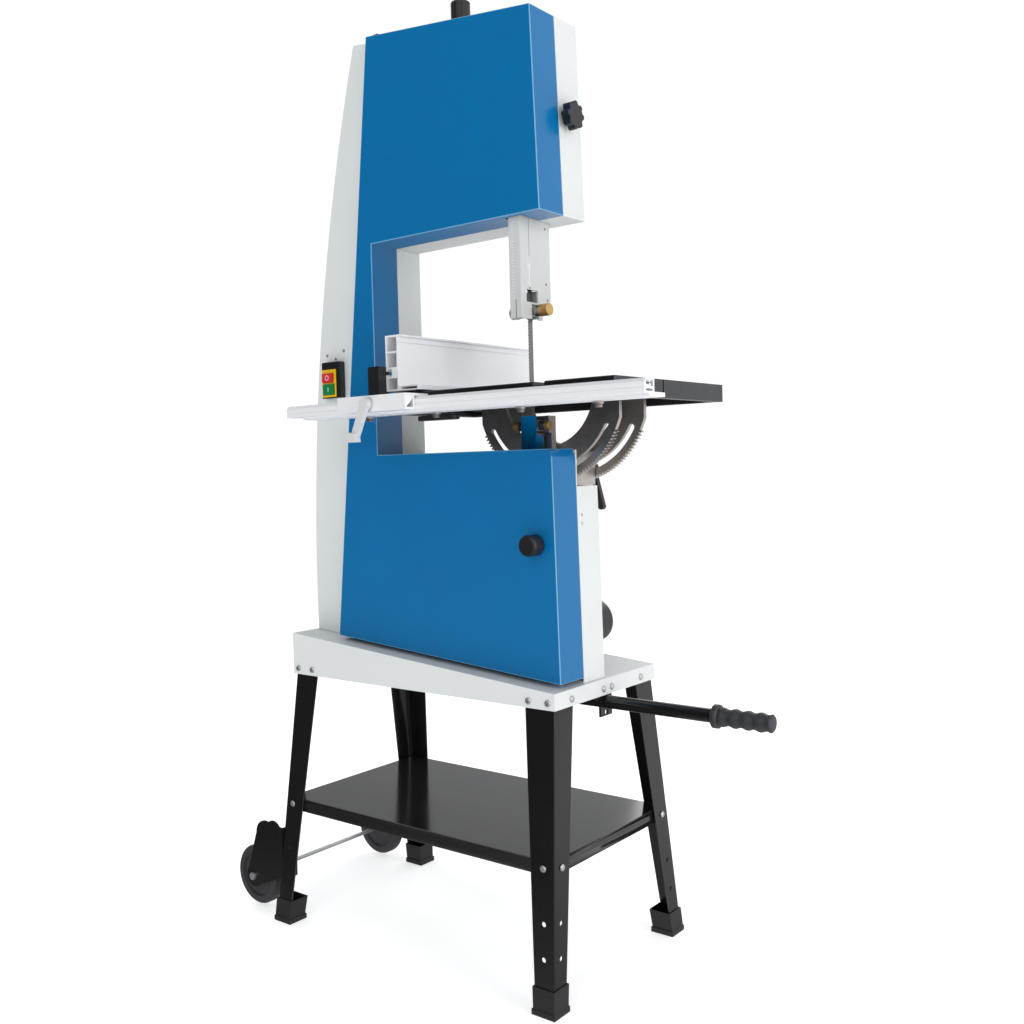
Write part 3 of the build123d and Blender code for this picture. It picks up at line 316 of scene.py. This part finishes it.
made_from("plinth", "plinth_shell", white_coat, 1.6 * mm, 3)
# The legs and the tray get the painted fold highlight on their long folded edges.
for corner in ("front_left", "front_right", "rear_left", "rear_right"):
    made_from(f"leg_{corner}", f"leg_angle_{corner}", black_coat, 0.8 * mm, fold=black_fold_highlight)
made_from("shelf", "shelf_tray", black_gloss, 1.4 * mm, 3, fold=black_fold_highlight)
made_from("rubber_feet", "rubber_boots", foot_rubber, 1.6 * mm, 3)

# ------------------------------------------------------------------ transport gear
# Two solid nylon wheels turn on a zinc-plated rod in folded brackets, and a painted tube with a
# moulded grip pulls out of the other end so that the saw can be tipped and rolled.

# Moulded nylon: black-grey with a faint gloss.
castor_nylon = moulded("moulded nylon", "#38373A", "#424144", 0.42, 1.5, 0.12)
# Soft grip rubber: greyer than the tube, with a fine bloom.
grip_rubber = moulded("grip rubber", "#2F3034", "#3A3B40", 0.50, 0.9, 0.22)

made_from("wheel_brackets", "castor_brackets", black_coat, 0.7 * mm)
for side in ("front", "rear"):
    made_from(f"transport_wheel_{side}", f"castor_{side}", castor_nylon, 1.2 * mm)
made_from("transport_axle", "castor_rod", zinc_plate, 0.5 * mm)
made_from("handle_bracket", "handle_plates", black_coat, 0.6 * mm)
made_from("handle_bar", "handle_tube", black_coat, 0.5 * mm)


def lathe(name, centre, axis, profile, segments=48):
    """A turned shape: (distance along the axis, radius) pairs spun about an axis through a point."""
    direction = Vector(axis).normalized()
    across = direction.orthogonal().normalized()
    other = direction.cross(across)
    shape = bmesh.new()
    rings = []
    for along, radius in profile:
        ring = []
        for index in range(segments):
            angle = 2 * math.pi * index / segments
            spoke = across * math.cos(angle) + other * math.sin(angle)
            ring.append(shape.verts.new(Vector(centre) + direction * along + spoke * radius))
        rings.append(ring)
    for low, high in zip(rings, rings[1:]):
        for index in range(segments):
            after = (index + 1) % segments
            shape.faces.new((low[index], low[after], high[after], high[index]))
    shape.faces.new(reversed(rings[0]))
    shape.faces.new(rings[-1])
    for face in shape.faces:
        face.smooth = True
    mesh = bpy.data.meshes.new(name)
    shape.to_mesh(mesh)
    shape.free()
    return mesh


grip_low, grip_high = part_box("handle_grip")
grip_length = grip_high.x - grip_low.x
grip_middle = (grip_low + grip_high) / 2
flange_radius = 18.5 * mm
grip_profile = [
    (0, 17 * mm), (0.6 * mm, flange_radius), (8 * mm, flange_radius),
    (9 * mm, 17.6 * mm), (9.5 * mm, 13.6 * mm)]
ribs = 88
for rib in range(ribs):
    along = 10 * mm + (grip_length - 15 * mm) * rib / (ribs - 1)
    swell = 13.9 + 1.3 * math.cos((along / mm - 36) * 2 * math.pi / 21)
    groove = 0.55 if rib % 4 == 0 else 0.0
    grip_profile.append((along, (swell - groove) * mm))
grip_profile += [(grip_length - 3 * mm, 14.2 * mm), (grip_length - 0.8 * mm, 12 * mm), (grip_length, 9 * mm)]
settle(
    lathe("grip_sleeve", (grip_low.x, grip_middle.y, grip_middle.z), (1, 0, 0), grip_profile),
    "grip_sleeve", grip_rubber, body_of_node["handle_grip"], ("handle_grip",))

# ------------------------------------------------------------------ frame
# The welded spine of the saw: a tall bowed column, two wheel housings and the channel behind the
# throat, all off-white, with black straps for the hinge and small zinc screws.

made_from("column", "column_shell", white_coat, 2.2 * mm, 3)
made_from("blade_channel", "throat_wall", white_coat, 0.8 * mm)
made_from("lower_housing", "lower_shell", white_coat, 1.0 * mm, 3)
made_from("upper_housing", "upper_shell", white_coat, 1.0 * mm, 3)
made_from("hinge_pins", "hinge_straps", black_coat, 0.4 * mm)


def pan_screws(name, places, axis, radius, height, body, material):
    """Pan-head screws with a cross recess, standing on a surface and facing along an axis."""
    shape = bmesh.new()
    direction = Vector(axis).normalized()
    across = direction.orthogonal().normalized()
    other = direction.cross(across)
    rings = ((0, 1.0), (0.45, 0.97), (0.8, 0.78), (1.0, 0.45))
    steps = 20
    spokes = []
    for index in range(steps):
        angle = 2 * math.pi * index / steps
        spokes.append(across * math.cos(angle) + other * math.sin(angle))
    for place in places:
        centre = Vector(place)
        layers = []
        for rise, reach in rings:
            foot = centre + direction * height * rise
            layers.append([shape.verts.new(foot + spoke * radius * reach) for spoke in spokes])
        well = []
        for index, spoke in enumerate(spokes):
            deep, reach = (0.47, 0.40) if index % 5 == 0 else (0.65, 0.14)
            well.append(shape.verts.new(centre + direction * height * deep + spoke * radius * reach))
        layers.append(well)
        for low, high in zip(layers, layers[1:]):
            for index in range(steps):
                after = (index + 1) % steps
                shape.faces.new((low[index], low[after], high[after], high[index]))
        shape.faces.new(layers[-1])
        shape.faces.new(reversed(layers[0]))
    for face in shape.faces:
        face.smooth = True
    mesh = bpy.data.meshes.new(name)
    shape.to_mesh(mesh)
    shape.free()
    return settle(mesh, name, material, body)


def separate_solids(node):
    """Lowest and highest corner of each separate solid in a node."""
    shape = bmesh.new()
    shape.from_mesh(frame["nodes"][node].data)
    bmesh.ops.remove_doubles(shape, verts=shape.verts, dist=2e-6)
    waiting = set(shape.verts)
    corners = []
    while waiting:
        reached = [waiting.pop()]
        group = []
        while reached:
            vert = reached.pop()
            group.append(vert.co.copy())
            for edge in vert.link_edges:
                near = edge.other_vert(vert)
                if near in waiting:
                    waiting.remove(near)
                    reached.append(near)
        corners.append(tuple(
            Vector(pick(co[axis] for co in group) for axis in range(3)) for pick in (min, max)))
    shape.free()
    return corners


plinth_low, plinth_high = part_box("plinth")
plinth_centre = (plinth_low + plinth_high) / 2
bolt_head = 3.5 * mm
heads = {}
for low, high in sorted(separate_solids("stand_bolts"), key=lambda pair: tuple(pair[0])):
    size = high - low
    width = 11.2 * mm
    axis = max((0, 1), key=lambda a: abs(size[a] - width))
    outward = 1 if (low + high)[axis] / 2 > plinth_centre[axis] else -1
    middle = (low + high) / 2
    middle[axis] = (high if outward > 0 else low)[axis] - outward * bolt_head
    heads.setdefault((axis, outward), []).append(middle)
for (axis, outward), places in heads.items():
    direction = [0, 0, 0]
    direction[axis] = outward
    side = {(0, -1): "left", (0, 1): "right", (1, -1): "front", (1, 1): "rear"}[axis, outward]
    dome = pan_screws(f"bolts_{side}", places, direction, 5.6 * mm, bolt_head, "machine", zinc_plate)
    if side == "front":
        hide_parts("stand_bolts")

column_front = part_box("column")[0].y
switch_low, switch_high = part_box("switch_box")
screw_x = (
    (switch_low.x + 3 * mm, 14 * mm), (switch_high.x - 1 * mm, 20 * mm), (switch_low.x + 26 * mm, 6 * mm))
pan_screws(
    "column_screws", [(x, column_front, switch_high.z + rise) for x, rise in screw_x],
    (0, -1, 0), 2.8 * mm, 1.8 * mm, "machine", zinc_plate)
shell_low, shell_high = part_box("lower_housing")
shell_lean = 0.0194
pan_screws(
    "shell_screws", [(shell_high.x - rise * shell_lean - 0.6 * mm, shell_low.y + 12 * mm, shell_low.z + rise)
                     for rise in (258 * mm, 272 * mm)],
    (1, 0, 0.02), 2.6 * mm, 1.8 * mm, "machine", zinc_plate)

# ------------------------------------------------------------------ door
# One folded steel door covers both wheels and carries the lower blade guard. It is powder coated
# in a strong blue over both faces, and held shut by a black knob with a cam behind it.

# Blue polyester powder coat: glossy orange-peel. The paler blue at the folds is a painted highlight, set
# below.
blue_coat = powder_coat("blue powder coat", "#0071AA", "#0068A3", 0.24, 4.5, 0.20, gloss=0.42)
# Painted highlight: a paler blue on the rounded long folds of the door, standing in for the shine along each
# fold.
blue_fold_highlight = powder_coat("blue powder coat with painted fold highlight", "#7FB4D6", "#5D9CC6", 0.24, 4.5, 0.10, gloss=0.5)
# Moulded ABS: near black with a silky face.
black_abs = moulded("moulded ABS", "#1A1B1D", "#232426", 0.40, 1.1, 0.15)

# The door's long folds get the painted blue highlight.
made_from("door", "door_shell", blue_coat, 1.3 * mm, 3, fold=blue_fold_highlight)
made_from("door_knob", "door_catch_knob", black_abs, 1.0 * mm)

# ------------------------------------------------------------------ wheels, belt and blade
# Cast aluminium band wheels with ground rubber tyres carry a welded steel blade, and a ribbed
# belt turns the lower one.

# Machined casting: bright with faint turning lines.
cast_alloy = worked_metal("machined aluminium", "#C2C5C6", "#A3A6A7", 0.36, mottle=0.3, metal=0.55)
# Ground tyre rubber: dull with a dusty band.
tyre_rubber = moulded("ground tyre rubber", "#29292A", "#333334", 0.70, 1.5, 0.25)
# Ribbed belt rubber.
belt_rubber = moulded("belt rubber", "#1A1A1C", "#242426", 0.60, 1.2, 0.20)
# Bright turned steel.
turned_steel = worked_metal("turned steel", "#A4A5A5", "#838484", 0.26, depth=0.08)
# Rolled blade steel: long faint lines along the band.
blade_steel = worked_metal("rolled blade steel", "#8F8F8E", "#6F6F6E", 0.30, 1.2, (1, 3, 0.05), depth=0.08)
# Cast iron, zinc washed: grey with a sandy mottle.
raw_iron = worked_metal("sand-cast metal", "#DCD6D2", "#A49E9A", 0.40, 1.4, mottle=0.8, depth=0.30)
# Oil-tempered spring steel.
spring_steel = worked_metal("oil tempered steel", "#55565A", "#3C3D40", 0.35)

for height in ("upper", "lower"):
    made_from(f"{height}_wheel", f"{height}_band_wheel_casting", cast_alloy, 0.8 * mm)
    made_from(f"{height}_tyre", f"{height}_rubber_tyre", tyre_rubber, 0.8 * mm)
made_from("lower_shaft", "lower_spindle", turned_steel, 0.6 * mm)
made_from("motor_pulley", "motor_pulley_casting", cast_alloy, 0.5 * mm)
made_from("drive_belt", "ribbed_belt", belt_rubber, 0.4 * mm)
made_from("tension_block", "axle_block", raw_iron, 0.8 * mm)
made_from("tension_screw", "tension_rod", turned_steel, 0.4 * mm)
made_from("tension_knob", "fluted_knob", black_abs, 0.7 * mm)
frame["nodes"]["tension_spring"].data.materials.clear()
frame["nodes"]["tension_spring"].data.materials.append(spring_steel)


def toothed_band(name, low, high, thickness, tooth_pitch, tooth_depth):
    """The endless blade: a thin band round two wheels, with raked teeth along its front edge."""
    centre_x = (low.x + high.x) / 2
    radius = (high.x - low.x) / 2
    bottom, top = low.z + radius, high.z - radius
    straight = top - bottom
    arc = math.pi * radius
    length = 2 * (straight + arc)
    count = round(length / tooth_pitch)

    def along(distance):
        """Outer point and outward direction at a distance along the loop."""
        distance = distance % length
        if distance < straight:
            return Vector((centre_x + radius, 0, top - distance)), Vector((1, 0, 0))
        distance -= straight
        if distance < arc:
            turn = -distance / radius
            out = Vector((math.cos(turn), 0, math.sin(turn)))
            return Vector((centre_x, 0, bottom)) + out * radius, out
        distance -= arc
        if distance < straight:
            return Vector((centre_x - radius, 0, bottom + distance)), Vector((-1, 0, 0))
        distance -= straight
        turn = math.pi - distance / radius
        out = Vector((math.cos(turn), 0, math.sin(turn)))
        return Vector((centre_x, 0, top)) + out * radius, out

    shape = bmesh.new()
    stations = []
    for tooth in range(count):
        for share, depth in ((0.0, 0.0), (0.12, tooth_depth), (0.55, tooth_depth), (0.9, 0.25 * tooth_depth)):
            point, out = along((tooth + share) * length / count)
            front = low.y + depth
            stations.append([
                shape.verts.new(point + Vector((0, high.y, 0)) - out * thickness),
                shape.verts.new(point + Vector((0, high.y, 0))),
                shape.verts.new(point + Vector((0, front, 0))),
                shape.verts.new(point + Vector((0, front, 0)) - out * thickness),
            ])
    for first, second in zip(stations, stations[1:] + stations[:1]):
        for index in range(4):
            after = (index + 1) % 4
            shape.faces.new((first[index], first[after], second[after], second[index]))
    bmesh.ops.recalc_face_normals(shape, faces=shape.faces)
    mesh = bpy.data.meshes.new(name)
    shape.to_mesh(mesh)
    shape.free()
    return mesh


blade_low, blade_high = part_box("saw_blade")
settle(toothed_band("toothed_blade", blade_low, blade_high, 0.6 * mm, 5.2 * mm, 1.9 * mm),
       "toothed_blade", blade_steel, "machine", ("saw_blade",))

# ------------------------------------------------------------------ motor and dust port
# An enamelled motor with cooling ribs is flanged to the back, above a moulded hose port.

# Motor enamel: dark grey, slightly glossy.
motor_enamel = powder_coat("motor enamel", "#4C4F52", "#56595C", 0.38, 2.0, 0.18)
made_from("motor", "ribbed_motor", motor_enamel, 0.8 * mm)
made_from("dust_port", "hose_port", black_abs, 0.8 * mm)

# ------------------------------------------------------------------ blade guides
# An anodised extrusion slides round the blade and carries the upper guide. Steel pins with brass
# knobs steady the blade above and below the table.

# Turned brass: warm, with a bright rim.
turned_brass = worked_metal("turned brass", "#E3BE7E", "#C0965A", 0.34, depth=0.10, metal=0.8)
# Satin anodised aluminium: pale and even, with faint lines along the extrusion.
post_alloy = worked_metal(
    "satin anodised aluminium", "#D9DAD9", "#CDCFCE", 0.50, 1.4, (1, 1, 0.02), depth=0.06, metal=0.05)
# Printed marks: a white scale and arrow. The grey line is painted shade: a grey strip drawn on the post's
# right face where it has a groove.
mark_paint = moulded("white marking paint", "#FBFBFB", "#F2F2F2", 0.6, 2.0, 0.02)
groove_shade_paint = moulded("grey painted groove shade", "#77797A", "#6C6E6F", 0.6, 2.0, 0.02)
made_from("guide_post", "guide_extrusion", post_alloy, 0.7 * mm)


def bars(name, corners, material, body):
    """Small rectangular bars between pairs of corners, as one piece."""
    shape = bmesh.new()
    for low, high in corners:
        middle = (Vector(low) + Vector(high)) / 2
        size = Vector(high) - Vector(low)
        bmesh.ops.create_cube(shape, size=1, matrix=Matrix.Translation(middle) @ Matrix.Diagonal((*size, 1)))
    mesh = bpy.data.meshes.new(name)
    shape.to_mesh(mesh)
    shape.free()
    return settle(mesh, name, material, body)


post_low, post_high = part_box("guide_post")
proud = 0.12 * mm
tick_x = post_low.x + 5 * mm
ticks = []
for tick in range(29):
    z = post_low.z + (32 + 5 * tick) * mm
    reach = 6 * mm if tick % 2 == 0 else 3.5 * mm
    ticks.append(((tick_x, post_low.y - proud, z), (tick_x + reach, post_low.y + proud, z + 0.6 * mm)))
line_y = post_low.y + 24 * mm
mark_left, mark_right = post_high.x - proud, post_high.x + proud
# Painted shade of the groove: a grey strip up the right face, with a short grey mark across it.
bars("guide_groove_shade", [
    ((mark_left, line_y, post_low.z + 100 * mm), (mark_right, line_y + 0.9 * mm, post_high.z - 2 * mm)),
    ((mark_left, line_y - 1 * mm, post_low.z + 48 * mm), (mark_right, line_y + 2 * mm, post_low.z + 51 * mm)),
], groove_shade_paint, "guide_carriage")
shaft_width = 2.4
shaft = [(rise, shaft_width) for rise in range(62, 80, 2)]
arrow = [(54, 5), (57, 9), (60, 3)] + shaft + [(80, 3), (83, 9), (86, 5), (89, shaft_width)]
for rise, width in arrow:
    ticks.append((
        (mark_left, line_y - width / 2 * mm, post_low.z + rise * mm),
        (mark_right, line_y + width / 2 * mm, post_low.z + (rise + 1.2) * mm)))
bars("guide_marks", ticks, mark_paint, "guide_carriage")
pan_screws(
    "post_screws", [(post_high.x - 0.2 * mm, post_high.y - reach * mm, post_low.z + rise * mm)
                    for reach, rise in ((12, 60), (12, 150), (9, 34))],
    (1, 0, 0), 2.2 * mm, 1.2 * mm, "guide_carriage", turned_steel)
made_from("guide_pinion", "guide_gear", turned_steel, 0.2 * mm)
made_from("guide_knob", "lobed_knob", black_abs, 1.2 * mm, 3)
made_from("upper_guide_block", "upper_fork", cast_alloy, 0.7 * mm)
made_from("upper_guide_pins", "upper_pins", turned_steel, 0.4 * mm)
made_from("upper_guide_knobs", "upper_brass", turned_brass, 0.8 * mm)
made_from("lower_guide_block", "lower_fork", raw_iron, 0.7 * mm)
made_from("lower_guide_pins", "lower_pins", turned_steel, 0.4 * mm)
made_from("lower_guide_knobs", "lower_brass", turned_brass, 0.8 * mm)

# ------------------------------------------------------------------ table
# A cast-iron table, ground on top, tilts on two toothed trunnions that hang below it.

# Ground cast iron: dark grey with fine lines across the top.
ground_iron = worked_metal(
    "ground cast iron", "#5B5C5E", "#48494B", 0.34, 1.6, (0.03, 1, 1), mottle=0.2, depth=0.12)
# Turned aluminium insert.
turned_insert = worked_metal("turned aluminium", "#B4B6B7", "#9A9C9D", 0.30)
made_from("table", "table_casting", ground_iron, 0.9 * mm)
made_from("table_insert", "insert_ring", turned_insert, 0.2 * mm)
for side in ("front", "rear"):
    made_from(f"{side}_trunnion", f"{side}_toothed_ring", raw_iron, 0.3 * mm)
made_from("table_bracket", "trunnion_cradle", raw_iron, 1.2 * mm)
made_from("tilt_pinion", "tilt_gear", turned_steel, 0.2 * mm)
made_from("tilt_knob", "tilt_hand_knob", black_abs, 1.0 * mm)
made_from("tilt_lock_lever", "tilt_clamp_lever", black_abs, 1.0 * mm)

table_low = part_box("table")[0]
rail_low, rail_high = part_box("rail")


def flat_lever(name, start, end, width_start, width_end, low, high, material, body):
    """A flat moulded lever with round ends, lying along x."""
    outline = []
    for centre, half, first in ((start, width_start / 2, 90), (end, width_end / 2, -90)):
        for step in range(13):
            angle = math.radians(first + 15 * step)
            outline.append((centre[0] + half * math.cos(angle), centre[1] + half * math.sin(angle)))
    shape = bmesh.new()
    rims = [[shape.verts.new((x, y, z)) for x, y in outline] for z in (low, high)]
    shape.faces.new(reversed(rims[0]))
    shape.faces.new(rims[1])
    for index in range(len(outline)):
        after = (index + 1) % len(outline)
        shape.faces.new((rims[0][index], rims[0][after], rims[1][after], rims[1][index]))
    mesh = bpy.data.meshes.new(name)
    shape.to_mesh(mesh)
    shape.free()
    piece = settle(mesh, name, material, body)
    soften(piece, 1.2 * mm)
    return piece


lever_y = table_low.y + 50 * mm
flat_lever("table_lock_lever", (table_low.x + 122 * mm, lever_y), (table_low.x + 186 * mm, lever_y),
           17 * mm, 25 * mm, table_low.z - 17 * mm, table_low.z - 9 * mm,
           black_abs, "table_top")
settle(
    lathe("table_lock_stem", (table_low.x + 184 * mm, lever_y, table_low.z - 10 * mm), (0, 0, 1),
          [(0, 6 * mm), (4 * mm, 6 * mm), (4.5 * mm, 4 * mm), (29 * mm, 4 * mm)], 24),
    "table_lock_stem", turned_steel, "table_top")
nut_profile = [(0, 5 * mm), (0.6 * mm, 5.8 * mm), (4.6 * mm, 5.8 * mm), (5 * mm, 8 * mm), (8.9 * mm, 8 * mm)]
nut_sides = 6
for number, reach in enumerate((40, 190, 360, 500)):
    nut_place = (table_low.x + reach * mm, rail_high.y - 15 * mm, rail_low.z - 9 * mm)
    settle(
        lathe(f"rail_bolt_{number}", nut_place, (0, 0, 1), nut_profile, nut_sides),
        f"rail_bolt_{number}", raw_iron, "table_top")

# ------------------------------------------------------------------ fence
# A tall hollow extrusion stands on a carrier that slides on the front rail, and a light plastic
# lever locks it.

# Moulded light grey plastic.
lever_plastic = moulded("light grey ABS", "#D9D8D9", "#CFCED0", 0.42, 1.2, 0.12)
# Brighter mill-finished aluminium on the rail and the tall fence.
fence_alloy = worked_metal(
    "bright mill aluminium", "#F4F4F6", "#EDEDF0", 0.40, 1.4, (0.02, 1, 1), depth=0.05, metal=0.10)
made_from("rail", "rail_extrusion", fence_alloy, 0.4 * mm)
made_from("fence", "fence_extrusion", fence_alloy, 0.4 * mm)
carrier = made_from("fence_carrier", "fence_slide_block", black_abs, 0.8 * mm)
carrier.data.materials.append(fence_alloy)
carrier_bar_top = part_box("fence_carrier")[0].z + 26.2 * mm
for face in carrier.data.polygons:
    if face.center.z < carrier_bar_top:
        face.material_index = 1
made_from("fence_clamp_lever", "fence_lever", lever_plastic, 1.2 * mm)
# The scale window in the front of the slide block, above the lever.
carrier_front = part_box("fence_carrier")[0].y
window_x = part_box("fence_clamp_lever")[1].x - 9 * mm
bars("scale_window", [((window_x - 5 * mm, carrier_front - 0.15 * mm, carrier_bar_top - 9 * mm),
                       (window_x + 5 * mm, carrier_front + 0.3 * mm, carrier_bar_top - 5 * mm))],
     black_abs, body_of_node["fence_carrier"])

# ------------------------------------------------------------------ switch
# A black switch box on the column, with a yellow face plate, a red stop and a green start button.

# Glossy moulded polycarbonate in signal colours.
signal_yellow = moulded("yellow polycarbonate", "#F2C21A", "#EDBB12", 0.30, 1.5, 0.05)
signal_red = moulded("red polycarbonate", "#D8343A", "#CE2B31", 0.25, 1.5, 0.05)
signal_green = moulded("green polycarbonate", "#15864A", "#0F7C42", 0.25, 1.5, 0.05)
made_from("switch_box", "switch_case", black_abs, 1.0 * mm)
made_from("stop_button", "red_button", signal_red, 0.8 * mm)
made_from("start_button", "green_button", signal_green, 0.8 * mm)

stop_low, stop_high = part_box("stop_button")
start_low, start_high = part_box("start_button")
gap = 0.5 * mm
plate_left, plate_right = switch_low.x + 1.2 * mm, switch_low.x + 39 * mm
plate_low, plate_high = switch_low.z + 2 * mm, stop_high.z + 7 * mm
plate_front, plate_back = switch_low.y - 0.7 * mm, switch_low.y + 0.1 * mm
strips = [
    (plate_left, plate_low, plate_right, start_low.z - gap),
    (plate_left, start_high.z + gap, plate_right, stop_low.z - gap),
    (plate_left, stop_high.z + gap, plate_right, plate_high),
    (plate_left, start_low.z - gap, start_low.x - gap, start_high.z + gap),
    (start_high.x + gap, start_low.z - gap, plate_right, start_high.z + gap),
    (plate_left, stop_low.z - gap, stop_low.x - gap, stop_high.z + gap),
    (stop_high.x + gap, stop_low.z - gap, plate_right, stop_high.z + gap),
]
bars("switch_face_plate", [((x0, plate_front, z0), (x1, plate_back, z1)) for x0, z0, x1, z1 in strips],
     signal_yellow, "machine")
white_mark = moulded("white pad print", "#F0F0EE", "#E8E8E6", 0.5, 2.0, 0.02)
start_middle = (start_low + start_high) / 2
bars("start_mark", [((start_middle.x - 0.7 * mm, start_low.y - 0.1 * mm, start_middle.z - 4 * mm),
                     (start_middle.x + 0.7 * mm, start_low.y + 0.1 * mm, start_middle.z + 4 * mm))],
     white_mark, "start_push")
stop_middle = (stop_low + stop_high) / 2
ring = []
ring_steps = 24
ring_radius = 4.2 * mm
half = Vector((0.65 * mm, 0.1 * mm, 0.65 * mm))
for step in range(ring_steps):
    angle = 2 * math.pi * step / ring_steps
    across, up = ring_radius * math.cos(angle), ring_radius * math.sin(angle)
    centre = Vector((stop_middle.x + across, stop_low.y, stop_middle.z + up))
    ring.append((centre - half, centre + half))
bars("stop_mark", ring, white_mark, "stop_push")
